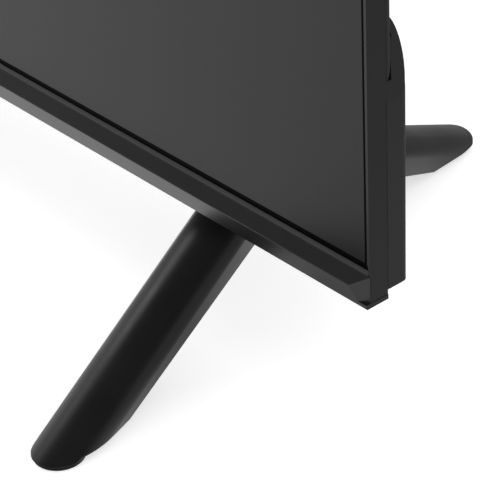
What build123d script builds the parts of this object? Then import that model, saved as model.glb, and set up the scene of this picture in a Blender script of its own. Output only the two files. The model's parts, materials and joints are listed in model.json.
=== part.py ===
from build123d import *

import math
import os

# A flat screen television on two A-shaped feet, 50 inch class.
# Frame: X to the right of a viewer, Y from the screen to the back, Z up, origin on the floor midway
# between the feet and midway between their toes. The screen looks along -Y. Depths are counted from
# the bezel's lower front edge.

# Driving dimensions
active_width = 1104.0
active_height = 621.0
stand_height = 59.2
foot_inset = 102.9
foot_depth = 47.6
foot_turn = 12.0
front_reach = 146.6
rear_reach = 139.5
rear_depth = 72.0
back_depth = 12.9

# Screen edges
side_border = 2.9
top_border = 2.9
bottom_border = 2.0
rail_wall = 1.1
chin_rise = 14.6

# Common allowances
clearance = 0.3
overrun = 5.0

# Derived frame of the set
body_width = active_width + 2 * (side_border + rail_wall)
half_width = body_width / 2
body_bottom = stand_height
chin_top = body_bottom + chin_rise
body_top = chin_top + bottom_border + active_height + top_border + rail_wall
foot_x = half_width - foot_inset
foot_y = (front_reach - rear_reach) / 2 * math.cos(math.radians(foot_turn))
front_y = foot_y - foot_depth


def depth(value):
    return front_y + value


def height(value):
    return body_bottom + value


def facing(y):
    """Plane across the set at y, looking to the back, with its own y upwards."""
    return Plane(origin=(0, y, 0), x_dir=(-1, 0, 0), z_dir=(0, 1, 0))


def block(x0, x1, y0, y1, z0, z1, mode=Mode.ADD):
    """A straight block between two corners, in the builder that calls it."""
    with Locations(((x0 + x1) / 2, (y0 + y1) / 2, (z0 + z1) / 2)):
        Box(x1 - x0, y1 - y0, z1 - z0, mode=mode)


def finish(builder, name):
    builder.part.label = name
    export_step(builder.part, f"parts/{name}.step")


os.makedirs("parts", exist_ok=True)

# Depth stack of the screen, front to back
lip_depth = 1.15
glass_depth = 2.9
glass_thickness = 1.4
gasket_thickness = 0.4
sheet_thickness = 0.4
guide_thickness = 4.0
reflector_thickness = 0.3
rail_back = 10.3
tray_thickness = 0.8
glass_back = glass_depth + glass_thickness
gasket_back = glass_back + gasket_thickness
prism_depth = gasket_back + clearance
diffuser_depth = prism_depth + sheet_thickness
guide_depth = diffuser_depth + sheet_thickness
reflector_depth = guide_depth + guide_thickness
stack_back = reflector_depth + reflector_thickness

# Screen glass: front sheet, liquid crystal and rear sheet as one bonded plate
chin_overlap = 6.6
glass_half = half_width - rail_wall - clearance
glass_bottom = chin_top - chin_overlap
glass_top = body_top - rail_wall - clearance

with BuildPart() as lcd_panel:
    block(-glass_half, glass_half, depth(glass_depth), depth(glass_back), glass_bottom, glass_top)
    fillet(lcd_panel.edges().filter_by(Axis.Y), clearance)
finish(lcd_panel, "lcd_panel")

# Foam gasket between the glass and the support frame
gasket_width = 4.0

with BuildPart() as panel_gasket:
    block(-glass_half, glass_half, depth(glass_back), depth(gasket_back), glass_bottom, glass_top)
    block(
        -glass_half + gasket_width,
        glass_half - gasket_width,
        depth(glass_back),
        depth(gasket_back),
        glass_bottom + gasket_width,
        glass_top - gasket_width,
        mode=Mode.SUBTRACT,
    )
finish(panel_gasket, "panel_gasket")

# Support frame: a moulded ring that carries the glass and holds the sheets
frame_width = 6.0
frame_foot = 4.0
frame_inner = glass_half - frame_width

with BuildPart() as support_frame:
    block(-glass_half, glass_half, depth(gasket_back), depth(stack_back), glass_bottom, glass_top)
    block(
        -frame_inner,
        frame_inner,
        depth(gasket_back),
        depth(stack_back),
        glass_bottom + frame_foot,
        glass_top - frame_width,
        mode=Mode.SUBTRACT,
    )
finish(support_frame, "support_frame")

# Light source along the bottom edge of the guide plate
spreader_thickness = 0.8
strip_thickness = 0.6
chip_height = 0.7
chip_length = 14.0
chip_width = 2.8
chip_pitch = 24.0
led_inset = 8.0
spreader_z = glass_bottom + frame_foot
strip_z = spreader_z + spreader_thickness
chip_z = strip_z + strip_thickness
guide_bottom = chip_z + chip_height + clearance
led_half = frame_inner - led_inset
strip_depth = guide_depth
strip_back = reflector_depth
chip_count = int(2 * led_half / chip_pitch)

with BuildPart() as led_heat_spreader:
    block(-led_half, led_half, depth(prism_depth), depth(stack_back), spreader_z, strip_z)
finish(led_heat_spreader, "led_heat_spreader")

with BuildPart() as led_strip:
    block(-led_half, led_half, depth(strip_depth), depth(strip_back), strip_z, chip_z)
finish(led_strip, "led_strip")

with BuildPart() as led_chips:
    with Locations((0, depth((strip_depth + strip_back) / 2), chip_z + chip_height / 2)):
        with GridLocations(chip_pitch, chip_width, chip_count, 1):
            Box(chip_length, chip_width, chip_height)
finish(led_chips, "led_chips")

# Sheets and plates behind the glass
sheet_half = frame_inner - clearance
sheet_top = glass_top - frame_width - clearance
sheet_stack = {
    "prism_sheet": (prism_depth, diffuser_depth),
    "diffuser_sheet": (diffuser_depth, guide_depth),
    "light_guide_plate": (guide_depth, reflector_depth),
    "reflector_sheet": (reflector_depth, stack_back),
}
for sheet_name, (sheet_front, sheet_back) in sheet_stack.items():
    with BuildPart() as sheet:
        block(-sheet_half, sheet_half, depth(sheet_front), depth(sheet_back), guide_bottom, sheet_top)
    finish(sheet, sheet_name)

# Bottom bezel section: depth and height of each corner of its moulded wall
nose_depth = -2.2
nose_rise = 8.1
ridge_depth = 1.8
ridge_rise = 13.0
ridge_back = glass_depth - clearance
chin_wall = 1.8
chin_floor = 2.0
chin_back = rail_back
end_block = 11.0
facet_depth = 1.7
facet_inset = 7.4
nose_round = 0.5
rail_joint = chin_floor + clearance

chin_outer = [
    (depth(0), body_bottom),
    (depth(nose_depth), height(nose_rise)),
    (depth(ridge_depth), height(ridge_rise)),
    (depth(ridge_back), chin_top),
]
chin_inner = [
    (depth(ridge_back), chin_top - chin_wall),
    (depth(nose_depth + chin_wall), height(nose_rise)),
    (depth(chin_wall), height(chin_floor)),
    (depth(chin_back), height(chin_floor)),
    (depth(chin_back), body_bottom),
]
chin_solid = [
    (depth(ridge_back), height(chin_floor)),
    (depth(chin_back), height(chin_floor)),
    (depth(chin_back), body_bottom),
]

# Openings in the bezel's floor
button_x = 0.0
button_length = 13.4
button_width = 4.4
button_gap = 0.25
window_x = 34.0
window_length = 14.0
window_width = 4.0
floor_middle = (chin_wall + chin_back) / 2 + clearance

with BuildPart() as bottom_bezel:
    with BuildSketch(Plane.YZ.offset(-half_width)):
        with BuildLine():
            Polyline(*chin_outer, *chin_inner, close=True)
        make_face()
    extrude(amount=body_width)
    for side in (-1, 1):
        with BuildSketch(Plane.YZ.offset(side * half_width)):
            with BuildLine():
                Polyline(*chin_outer, *chin_solid, close=True)
            make_face()
        extrude(amount=-side * end_block)
    nose_edges = bottom_bezel.edges().filter_by(Axis.X).group_by(Axis.Y)[0]
    fillet(nose_edges, nose_round)
    for side in (-1, 1):
        with BuildSketch(Plane.XY.offset(height(chin_floor))):
            with BuildLine():
                Polyline(
                    (side * half_width, depth(facet_depth)),
                    (side * (half_width - facet_inset), depth(nose_depth)),
                    (side * (half_width - facet_inset), depth(nose_depth - overrun)),
                    (side * (half_width + overrun), depth(nose_depth - overrun)),
                    (side * (half_width + overrun), depth(facet_depth)),
                    close=True,
                )
            make_face()
        extrude(amount=chin_rise, mode=Mode.SUBTRACT)
        rail_x = sorted((side * (half_width - rail_wall - clearance), side * (half_width + overrun)))
        block(
            *rail_x,
            depth(facet_depth),
            depth(chin_back + overrun),
            height(chin_floor),
            height(chin_rise + overrun),
            mode=Mode.SUBTRACT,
        )
    with Locations((button_x, depth(floor_middle), body_bottom)):
        Box(
            button_length + 2 * button_gap,
            button_width + 2 * button_gap,
            2 * chin_floor + overrun,
            mode=Mode.SUBTRACT,
        )
    with Locations((window_x, depth(floor_middle), body_bottom)):
        Box(window_length, window_width, 2 * chin_floor + overrun, mode=Mode.SUBTRACT)
finish(bottom_bezel, "bottom_bezel")

# Side rails: a thin wall around the glass with an inner rib behind the gasket
rail_front_low = facet_depth + clearance / 2
lip_cut_outer = 14.7
lip_cut_inner = 18.2
rail_corner = 1.0
rail_edge = 0.4

for side, rail_name in ((1, "side_rail_right"), (-1, "side_rail_left")):
    outer_x = side * half_width
    inner_x = side * (half_width - rail_wall)
    with BuildPart() as side_rail:
        block(*sorted((outer_x, inner_x)), depth(lip_depth), depth(rail_back), height(rail_joint), body_top)
        outer_corner = side_rail.edges().filter_by(Axis.Y).group_by(Axis.Z)[-1]
        outer_corner = outer_corner.sort_by(Axis.X)[-1 if side > 0 else 0]
        fillet(outer_corner, rail_corner)
        rear_edges = side_rail.faces().sort_by(Axis.Y)[-1].edges().filter_by(Axis.Z).sort_by(Axis.X)
        fillet(rear_edges[-1 if side > 0 else 0], rail_edge)
        with BuildSketch(facing(depth(rail_front_low))):
            with BuildLine():
                Polyline(
                    (-outer_x - side * overrun, body_bottom),
                    (-inner_x + side * overrun, body_bottom),
                    (-inner_x + side * overrun, height(lip_cut_inner)),
                    (-inner_x, height(lip_cut_inner)),
                    (-outer_x, height(lip_cut_outer)),
                    (-outer_x - side * overrun, height(lip_cut_outer)),
                    close=True,
                )
            make_face()
        extrude(amount=-overrun, mode=Mode.SUBTRACT)
    finish(side_rail, rail_name)

with BuildPart() as top_rail:
    block(
        -half_width + rail_wall,
        half_width - rail_wall,
        depth(lip_depth),
        depth(rail_back),
        body_top - rail_wall,
        body_top,
    )
finish(top_rail, "top_rail")

# Wall mount pattern and the screw wells of the rear housing
housing_height = 365.0
top_shoulder = 43.0
mount_pitch = 200.0
mount_top_gap = 12.0
inner_flat = housing_height - top_shoulder
mount_low = inner_flat - mount_top_gap - mount_pitch
mount_hole = 3.0
mount_access = 4.0
well_radius = 4.2
well_wall = 1.4
screw_hole = 1.8

# Screw wells as shares of the half width and of the housing height, the same on both sides
well_shares = [
    (0.207, 0.044),
    (0.486, 0.066),
    (0.908, 0.093),
    (0.908, 0.170),
    (0.791, 0.274),
    (0.620, 0.795),
    (0.342, 0.836),
    (0.072, 0.836),
]
well_points = [
    (side * across * half_width, height(up * housing_height))
    for across, up in well_shares
    for side in (-1, 1)
]

# Back tray: the stamped steel back of the screen, which is also the thin upper back of the set
tray_bottom = glass_bottom
tray_notch_top = 86.5
tray_notch_inset = 3.7
tray_rim_front = rail_back
tray_edge_round = 2.0
tray_end_rise = 8.0
tray_end_drop = 0.7
bead_width = 12.0
bead_wall = 0.8
bead_edge = 10.0
bead_pitch = 70.0
upper_bead_count = 3
tray_skin = back_depth - tray_thickness

with BuildPart() as back_tray:
    block(-half_width, half_width, depth(tray_rim_front), depth(back_depth), tray_bottom, body_top)
    rear_rim = back_tray.edges().filter_by(GeomType.LINE).group_by(Axis.Y)[-1]
    rear_rim = rear_rim.filter_by(Axis.Z) + rear_rim.filter_by(Axis.X).sort_by(Axis.Z)[-1:]
    fillet(rear_rim, tray_edge_round)
    block(
        -half_width + bead_wall,
        half_width - bead_wall,
        depth(tray_rim_front),
        depth(tray_skin),
        tray_bottom + bead_wall,
        body_top - bead_wall,
        mode=Mode.SUBTRACT,
    )
    bead_half = frame_inner + frame_width - clearance
    bead_rows = [
        (tray_bottom, tray_bottom + bead_width),
        (body_top - bead_edge - bead_width, body_top - bead_edge),
    ]
    bead_rows += [
        (body_top - bead_pitch * (row + 1) - bead_width, body_top - bead_pitch * (row + 1))
        for row in range(upper_bead_count)
    ]
    bead_columns = [(side * (bead_half - bead_width / 2)) for side in (-1, 1)]
    for low, high in bead_rows:
        block(-bead_half, bead_half, depth(stack_back), depth(tray_skin), low, high)
    for column in bead_columns:
        block(
            column - bead_width / 2,
            column + bead_width / 2,
            depth(stack_back),
            depth(tray_skin),
            tray_bottom,
            body_top - bead_edge,
        )
    for low, high in bead_rows[1:]:
        block(
            -bead_half + bead_width + bead_wall,
            bead_half - bead_width - bead_wall,
            depth(stack_back + bead_wall),
            depth(back_depth + overrun),
            low + bead_wall,
            high - bead_wall,
            mode=Mode.SUBTRACT,
        )
    for side in (-1, 1):
        notch = sorted((side * (half_width - tray_notch_inset), side * (half_width + overrun)))
        block(
            *notch,
            depth(tray_rim_front - overrun),
            depth(back_depth + overrun),
            tray_bottom - overrun,
            height(tray_notch_top),
            mode=Mode.SUBTRACT,
        )
        with BuildSketch(Plane.YZ.offset(notch[0])):
            with BuildLine():
                ThreePointArc(
                    (depth(back_depth), height(tray_notch_top + tray_end_rise)),
                    (depth(back_depth - tray_end_drop), height(tray_notch_top + tray_end_rise / 2)),
                    (depth(tray_rim_front), height(tray_notch_top)),
                )
                Polyline(
                    (depth(tray_rim_front), height(tray_notch_top)),
                    (depth(back_depth), height(tray_notch_top)),
                    (depth(back_depth), height(tray_notch_top + tray_end_rise)),
                )
            make_face()
        extrude(amount=notch[1] - notch[0], mode=Mode.SUBTRACT)
    with BuildSketch(facing(depth(back_depth))):
        with Locations(*[(-x, z) for x, z in well_points]):
            Circle(screw_hole)
    extrude(amount=-2 * tray_thickness, mode=Mode.SUBTRACT)
finish(back_tray, "back_tray")

# Lower rear housing: one section at each station across the set, from the sides to the middle.
# A section has a straight back up to its flat height and an elliptical shoulder above it.
housing_wall = 2.2
housing_floor = 3.9
housing_front = rail_back
housing_step = tray_notch_top - clearance
shoulder_front = back_depth + clearance
shoulder_centre = 10.0
side_depth = 19.4
side_flat = 80.0
side_top = 110.0
middle_inset = 95.0
middle_flat = 118.0
middle_top = 150.0
inner_inset = 176.0
inner_top = housing_height
edge_round = 3.0
lean_start = 79.0
lean_inset = 3.0
middle_x = half_width - middle_inset
inner_x = half_width - inner_inset


def housing_section(x, back, flat, top, wall):
    """The closed outline of the housing at x, drawn inside the outer one by the wall."""
    back_radius = back - wall - shoulder_centre
    top_radius = top - wall - flat
    opened = overrun if wall > 0 else 0
    front = housing_front - opened
    step_front = shoulder_front - opened
    step = housing_step - opened
    sweep_angle = math.degrees(math.acos((step_front - shoulder_centre) / back_radius))
    top_z = height(flat + top_radius * math.sin(math.radians(sweep_angle)))
    with BuildSketch(Plane.YZ.offset(x)) as section:
        with BuildLine():
            EllipticalCenterArc(
                (depth(shoulder_centre), height(flat)), back_radius, top_radius, arc_size=sweep_angle
            )
            Polyline(
                (depth(step_front), top_z),
                (depth(step_front), height(step)),
                (depth(front), height(step)),
                (depth(front), height(housing_floor + wall)),
                (depth(back - wall), height(housing_floor + wall)),
                (depth(back - wall), height(flat)),
            )
        make_face()
    return section.sketch


def housing_sections(wall):
    right = [
        (half_width - wall, side_depth, side_flat, side_top),
        (middle_x, rear_depth, middle_flat, middle_top),
        (inner_x, rear_depth, inner_flat, inner_top),
    ]
    stations = [(-x, *rest) for x, *rest in right] + right[::-1]
    return [housing_section(*station, wall) for station in stations]


# Pockets of the rear housing: left, right, front, lower and upper edge as shares of the half width,
# of the rear depth and of the housing height
pocket_wall = 2.0
side_pocket_shares = (0.651, 0.752, 0.250, 0.170, 0.526)
low_pocket_shares = (0.234, 0.453, 0.361, 0.049, 0.164)

# The mains pocket lies beside the left loudspeaker box, which ends at the foot's bracket
bracket_half = 22.0
box_width = 138.0
box_gap = 3.1
inlet_gap = 22.0
inlet_pocket_width = 56.2
speaker_x = foot_x - bracket_half - box_gap - box_width / 2
inlet_left = inlet_gap + box_width / 2 - speaker_x
inlet_left_share = inlet_left / half_width
inlet_right_share = (inlet_left + inlet_pocket_width) / half_width
inlet_pocket_shares = (inlet_left_share, inlet_right_share, 0.694, 0.071, 0.164)


def pocket(left, right, front, low, high):
    return (
        left * half_width,
        right * half_width,
        front * rear_depth,
        height(low * housing_height),
        height(high * housing_height),
    )


side_pocket = pocket(*side_pocket_shares)
low_pocket = pocket(*low_pocket_shares)
inlet_pocket = pocket(*inlet_pocket_shares)
pockets = (side_pocket, low_pocket, inlet_pocket)

# Foot screws pass the housing floor at this distance from each other along the foot
foot_screw_pitch = 18.0
foot_screw_radius = 2.5
foot_screw_play = 0.3


def foot_plane(side, z):
    """Plane across a foot at height z, with its own x along the front arm."""
    turn = math.radians(foot_turn)
    arm = (side * math.sin(turn), -math.cos(turn), 0)
    return Plane(origin=(side * foot_x, foot_y, z), x_dir=arm, z_dir=(0, 0, 1))


# Vents and loudspeaker slots
vent_count = 18
vent_pitch = 11.0
vent_width = 3.0
vent_height = 30.0
vent_x = 205.0
vent_drop = 54.0
vent_z = inner_flat - vent_drop
grille_count = 14
grille_pitch = 9.0
grille_width = 3.0
grille_length = 30.0
speaker_depth = 38.0
floor_top = height(housing_floor + housing_wall)

# Sockets: place along the pocket wall, width and height of the body
side_socket_width = 15.0
side_socket_depth = 6.0
side_socket_pitch = 22.0
side_socket_count = 5
board_depth = 20.9
board_thickness = 1.6
board_back = board_depth + board_thickness
side_socket_z = (side_pocket[3] + side_pocket[4]) / 2
socket_play = 0.2
antenna_x = 150.0
network_x = 182.0
optical_x = 214.0
antenna_radius = 5.0
network_width = 16.0
network_depth = 13.5
optical_width = 10.0
low_socket_depth = board_back + network_depth / 2
inlet_width = 22.0
inlet_height = 12.0
inlet_x = (inlet_pocket[0] + inlet_pocket[1]) / 2
inlet_z = (inlet_pocket[3] + inlet_pocket[4]) / 2

# The room inside the housing, with the wells and pockets left standing
with BuildPart() as housing_room:
    loft(housing_sections(housing_wall), ruled=True)
    with BuildSketch(facing(depth(shoulder_front))):
        with Locations(*[(-x, z) for x, z in well_points]):
            Circle(well_radius + well_wall)
    extrude(amount=rear_depth, mode=Mode.SUBTRACT)
    for x0, x1, front, z0, z1 in pockets:
        block(x0, x1, depth(front), depth(rear_depth + overrun), z0, z1, mode=Mode.SUBTRACT)

with BuildPart() as lower_rear_housing:
    loft(housing_sections(0), ruled=True)
    for side in (-1, 1):
        end_face = lower_rear_housing.faces().sort_by(Axis.X)[-1 if side > 0 else 0]
        back_edge = end_face.edges().filter_by(GeomType.LINE).filter_by(Axis.Z).sort_by(Axis.Y)[-1]
        shoulder_edge = end_face.edges().filter_by(GeomType.ELLIPSE)[0]
        fillet([back_edge, shoulder_edge], edge_round)
        with BuildSketch(facing(depth(rear_depth))):
            with BuildLine():
                Polyline(
                    (-side * half_width, height(lean_start)),
                    (-side * (half_width - lean_inset), height(side_top)),
                    (-side * (half_width + overrun), height(side_top)),
                    (-side * (half_width + overrun), height(lean_start)),
                    close=True,
                )
            make_face()
        extrude(amount=-rear_depth, mode=Mode.SUBTRACT)
    add(housing_room.part, mode=Mode.SUBTRACT)
    for x0, x1, front, z0, z1 in pockets:
        block(
            x0 + pocket_wall,
            x1 - pocket_wall,
            depth(front + pocket_wall),
            depth(rear_depth + overrun),
            z0 + pocket_wall,
            z1 - pocket_wall,
            mode=Mode.SUBTRACT,
        )
    well_floor = shoulder_front + 2 * housing_wall
    with BuildSketch(facing(depth(well_floor))):
        with Locations(*[(-x, z) for x, z in well_points]):
            Circle(well_radius)
    extrude(amount=rear_depth, mode=Mode.SUBTRACT)
    with BuildSketch(facing(depth(shoulder_front - overrun))):
        with Locations(*[(-x, z) for x, z in well_points]):
            Circle(screw_hole)
    extrude(amount=2 * overrun + housing_wall, mode=Mode.SUBTRACT)
    with BuildSketch(facing(depth(rear_depth - 2 * housing_wall))):
        with Locations((0, height(mount_low + mount_pitch / 2))):
            with GridLocations(mount_pitch, mount_pitch, 2, 2):
                Circle(mount_access)
        for side in (-1, 1):
            with Locations((side * vent_x, height(vent_z))):
                with GridLocations(vent_pitch, vent_height, vent_count, 1):
                    SlotOverall(vent_height, vent_width, rotation=90)
    extrude(amount=2 * housing_wall + overrun, mode=Mode.SUBTRACT)
    with BuildSketch(Plane.XY.offset(body_bottom)):
        for side in (-1, 1):
            with Locations((side * speaker_x, depth(speaker_depth))):
                with GridLocations(grille_pitch, grille_length, grille_count, 1):
                    SlotOverall(grille_length, grille_width, rotation=90)
    extrude(amount=floor_top + clearance - body_bottom, mode=Mode.SUBTRACT)
    for side in (-1, 1):
        with BuildSketch(foot_plane(side, body_bottom)):
            with GridLocations(foot_screw_pitch, foot_screw_pitch, 2, 1):
                Circle(foot_screw_radius + foot_screw_play)
        extrude(amount=floor_top + clearance - body_bottom, mode=Mode.SUBTRACT)
    with BuildSketch(Plane.YZ.offset(side_pocket[0] - overrun)):
        with Locations((depth(board_back + side_socket_depth / 2), side_socket_z)):
            with GridLocations(side_socket_depth, side_socket_pitch, 1, side_socket_count):
                Rectangle(side_socket_depth + 2 * socket_play, side_socket_width + 2 * socket_play)
    extrude(amount=overrun + pocket_wall, mode=Mode.SUBTRACT)
    with BuildSketch(Plane.XY.offset(low_pocket[4] - pocket_wall - overrun)):
        with Locations((antenna_x, depth(low_socket_depth))):
            Circle(antenna_radius + socket_play)
        with Locations((network_x, depth(low_socket_depth))):
            Rectangle(network_width + 2 * socket_play, network_depth + 2 * socket_play)
        with Locations((optical_x, depth(low_socket_depth))):
            Rectangle(optical_width + 2 * socket_play, optical_width + 2 * socket_play)
    extrude(amount=2 * overrun + pocket_wall, mode=Mode.SUBTRACT)
    with BuildSketch(facing(depth(inlet_pocket[2] - overrun))):
        with Locations((-inlet_x, inlet_z)):
            Rectangle(inlet_width + 2 * socket_play, inlet_height + 2 * socket_play)
    extrude(amount=2 * overrun, mode=Mode.SUBTRACT)
finish(lower_rear_housing, "lower_rear_housing")

# Housing screws at the floor of each well
screw_head_radius = 3.6
screw_head_height = 2.4
screw_radius = 1.7
screw_tip = tray_skin

with BuildPart() as rear_screws:
    with BuildSketch(facing(depth(screw_tip))):
        with Locations(*[(-x, z) for x, z in well_points]):
            Circle(screw_radius)
    extrude(amount=well_floor - screw_tip)
    with BuildSketch(facing(depth(well_floor))):
        with Locations(*[(-x, z) for x, z in well_points]):
            Circle(screw_head_radius)
    extrude(amount=screw_head_height)
    head_rims = rear_screws.faces().filter_by(Axis.Y).group_by(Axis.Y)[-1].edges()
    fillet(head_rims, screw_head_height / 3)
finish(rear_screws, "rear_screws")

# Feet: two sloping arms with a crowned top and sides that lean in. Each arm's underside ends flat,
# with a low round cup at the toe that holds a rubber pad.
arm_width = 24.7
arm_rise = 10.5
arm_under = 44.0
arm_lean_share = 0.277
arm_crown = 7.5
arm_bulge = 1.1
arm_depth = 26.0
toe_rise = 0.55
toe_under = 2.8
toe_round = 12.0
under_end_share = 0.735
cup_radius = 10.6
cup_inset = 0.4
pad_radius = 9.9
pad_height = 1.8
foot_counterbore = 4.5
foot_head_radius = 4.5
arm_top = stand_height + arm_rise
arm_slope = math.atan((arm_top - toe_rise) / max(front_reach, rear_reach))
foot_top = height(housing_floor)
foot_head_z = body_bottom - foot_counterbore

# Arm section: a wide top arc, a corner arc at each side and the two leaning sides
crown_x = arm_width / 2 - arm_crown
crown_reach = (arm_bulge**2 + crown_x**2) / (2 * arm_bulge)
crown_turn = math.asin(crown_x / crown_reach)
lean_turn = math.atan(arm_lean_share)
corner_turn = (math.radians(90) - crown_turn - lean_turn) / 2
crown_end = (crown_x + arm_crown * math.sin(crown_turn), arm_crown * (math.cos(crown_turn) - 1))
corner_middle = (
    crown_x + arm_crown * math.cos(corner_turn),
    arm_crown * (math.sin(corner_turn) - 1),
)
side_start = (crown_x + arm_crown * math.cos(lean_turn), -arm_crown * (1 + math.sin(lean_turn)))
side_end = (side_start[0] - arm_lean_share * (arm_depth + side_start[1]), -arm_depth)


def arm_solid(side, way, reach):
    """One arm of a foot, forwards or backwards, with its end still square from above."""
    turn = math.radians(foot_turn)
    arm = Vector(way * side * math.sin(turn), -way * math.cos(turn), 0)
    across = Vector(-way * math.cos(turn), -way * side * math.sin(turn), 0)
    along = arm * math.cos(arm_slope) - Vector(0, 0, math.sin(arm_slope))
    middle = Vector(side * foot_x, foot_y, 0)
    section_plane = Plane(origin=middle + Vector(0, 0, arm_top), x_dir=across, z_dir=along)
    up = 1 if section_plane.y_dir.Z > 0 else -1
    right = [(x, up * y) for x, y in (crown_end, corner_middle, side_start, side_end)]
    left = [(-x, y) for x, y in right]
    with BuildPart() as prism:
        with BuildSketch(section_plane):
            with BuildLine():
                ThreePointArc(left[0], (0, up * arm_bulge), right[0])
                ThreePointArc(*right[:3])
                Polyline(right[2], right[3], left[3], left[2])
                ThreePointArc(left[2], left[1], left[0])
            make_face()
        extrude(amount=reach / math.cos(arm_slope) + overrun)
    with BuildPart() as room:
        with BuildSketch(Plane(origin=middle, x_dir=arm, z_dir=across)):
            with BuildLine():
                Polyline(
                    (0, foot_top),
                    (reach, foot_top),
                    (reach, toe_under),
                    (under_end_share * reach, toe_under),
                    (0, arm_under),
                    close=True,
                )
            make_face()
        extrude(amount=arm_width, both=True)
        with BuildSketch(Plane(origin=middle + Vector(0, 0, pad_height), x_dir=arm)):
            with Locations((reach - cup_inset - cup_radius, 0)):
                Circle(cup_radius)
        extrude(amount=toe_under)
    return prism.part & room.part


def foot(side):
    """One foot: both arms, cut to a long rounded plan, with the two screw holes from below."""
    front_arm = arm_solid(side, 1, front_reach)
    rear_arm = arm_solid(side, -1, rear_reach)
    with BuildPart() as body:
        add([front_arm, rear_arm])
        with BuildSketch(foot_plane(side, 0)):
            with Locations(((front_reach - rear_reach) / 2, 0)):
                RectangleRounded(front_reach + rear_reach, arm_width, toe_round)
        extrude(amount=foot_top, mode=Mode.INTERSECT)
        with BuildSketch(foot_plane(side, 0)):
            with GridLocations(foot_screw_pitch, foot_screw_pitch, 2, 1):
                Circle(foot_screw_radius + foot_screw_play)
        extrude(amount=foot_top, mode=Mode.SUBTRACT)
        with BuildSketch(foot_plane(side, 0)):
            with GridLocations(foot_screw_pitch, foot_screw_pitch, 2, 1):
                Circle(foot_head_radius + 2 * foot_screw_play)
        extrude(amount=foot_head_z, mode=Mode.SUBTRACT)
    return body


for side, foot_name in ((1, "foot_right"), (-1, "foot_left")):
    finish(foot(side), foot_name)

pad_centres = [front_reach - cup_inset - cup_radius, cup_radius + cup_inset - rear_reach]
for side, pad_name in ((1, "foot_pads_right"), (-1, "foot_pads_left")):
    with BuildPart() as foot_pads:
        with BuildSketch(foot_plane(side, 0)):
            with Locations(*[(centre, 0) for centre in pad_centres]):
                Circle(pad_radius)
        extrude(amount=pad_height)
    finish(foot_pads, pad_name)

# Foot screws and the steel brackets that they pull against
foot_head_height = 2.6
foot_screw_rise = 2.0
bracket_thickness = 3.0
bracket_back = 58.0
bracket_flange = 38.0
bracket_z = floor_top
bracket_top = bracket_z + bracket_thickness
screw_end = bracket_top + foot_screw_rise

with BuildPart() as foot_screws:
    for side in (-1, 1):
        with BuildSketch(foot_plane(side, foot_head_z)):
            with GridLocations(foot_screw_pitch, foot_screw_pitch, 2, 1):
                Circle(foot_screw_radius)
        extrude(amount=screw_end - foot_head_z)
        with BuildSketch(foot_plane(side, foot_head_z - foot_head_height)):
            with GridLocations(foot_screw_pitch, foot_screw_pitch, 2, 1):
                Circle(foot_head_radius)
        extrude(amount=foot_head_height)
finish(foot_screws, "foot_screws")

for side, bracket_name in ((1, "foot_bracket_right"), (-1, "foot_bracket_left")):
    low_x = side * foot_x - bracket_half
    high_x = side * foot_x + bracket_half
    with BuildPart() as foot_bracket:
        block(low_x, high_x, depth(back_depth), depth(bracket_back), bracket_z, bracket_top)
        block(
            low_x,
            high_x,
            depth(back_depth),
            depth(back_depth + bracket_thickness),
            bracket_z,
            bracket_z + bracket_flange,
        )
        for rib_x in (low_x, high_x - bracket_thickness):
            with BuildSketch(Plane.YZ.offset(rib_x)):
                with BuildLine():
                    Polyline(
                        (depth(back_depth), bracket_z),
                        (depth(bracket_back), bracket_z),
                        (depth(bracket_back), bracket_top + bracket_thickness),
                        (depth(back_depth + bracket_thickness), bracket_z + bracket_flange),
                        (depth(back_depth), bracket_z + bracket_flange),
                        close=True,
                    )
                make_face()
            extrude(amount=bracket_thickness)
        with BuildSketch(foot_plane(side, bracket_z)):
            with GridLocations(foot_screw_pitch, foot_screw_pitch, 2, 1):
                Circle(foot_screw_radius + foot_screw_play / 3)
        extrude(amount=2 * bracket_thickness, mode=Mode.SUBTRACT)
    finish(foot_bracket, bracket_name)

# Wall mount: a channel on the tray at each side, and four threaded bushes up to the rear wall
channel_width = 24.0
channel_end = 32.0
channel_low = mount_low - channel_end
channel_high = mount_low + mount_pitch + channel_end
channel_wall = 1.5
bush_radius = 7.0
bush_back = rear_depth - housing_wall
bush_bore = 30.0

for side, channel_name in ((1, "mount_channel_right"), (-1, "mount_channel_left")):
    middle = side * mount_pitch / 2
    with BuildPart() as mount_channel:
        block(
            middle - channel_width / 2,
            middle + channel_width / 2,
            depth(back_depth),
            depth(board_depth),
            height(channel_low),
            height(channel_high),
        )
        block(
            middle - channel_width / 2 + channel_wall,
            middle + channel_width / 2 - channel_wall,
            depth(back_depth - overrun),
            depth(board_depth - channel_wall),
            height(channel_low) - overrun,
            height(channel_high) + overrun,
            mode=Mode.SUBTRACT,
        )
    finish(mount_channel, channel_name)

with BuildPart() as mount_bushes:
    with BuildSketch(facing(depth(board_depth))):
        with Locations((0, height(mount_low + mount_pitch / 2))):
            with GridLocations(mount_pitch, mount_pitch, 2, 2):
                Circle(bush_radius)
    extrude(amount=bush_back - board_depth)
    with BuildSketch(facing(depth(bush_back - bush_bore))):
        with Locations((0, height(mount_low + mount_pitch / 2))):
            with GridLocations(mount_pitch, mount_pitch, 2, 2):
                Circle(mount_hole)
    extrude(amount=bush_bore, mode=Mode.SUBTRACT)
finish(mount_bushes, "mount_bushes")

# Circuit boards on the tray, each on its own stand-offs: left, right, lower and upper edge as shares
# of the half width and of the housing height
board_shares = {
    "power_board": (-0.6025, -0.2122, 0.1753, 0.6356),
    "main_board": (0.2194, 0.6475, 0.1753, 0.6356),
    "wireless_module": (-0.1079, -0.0360, 0.2740, 0.3397),
}
boards = {
    board_name: (
        left * half_width,
        right * half_width,
        height(low * housing_height),
        height(high * housing_height),
    )
    for board_name, (left, right, low, high) in board_shares.items()
}

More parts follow.
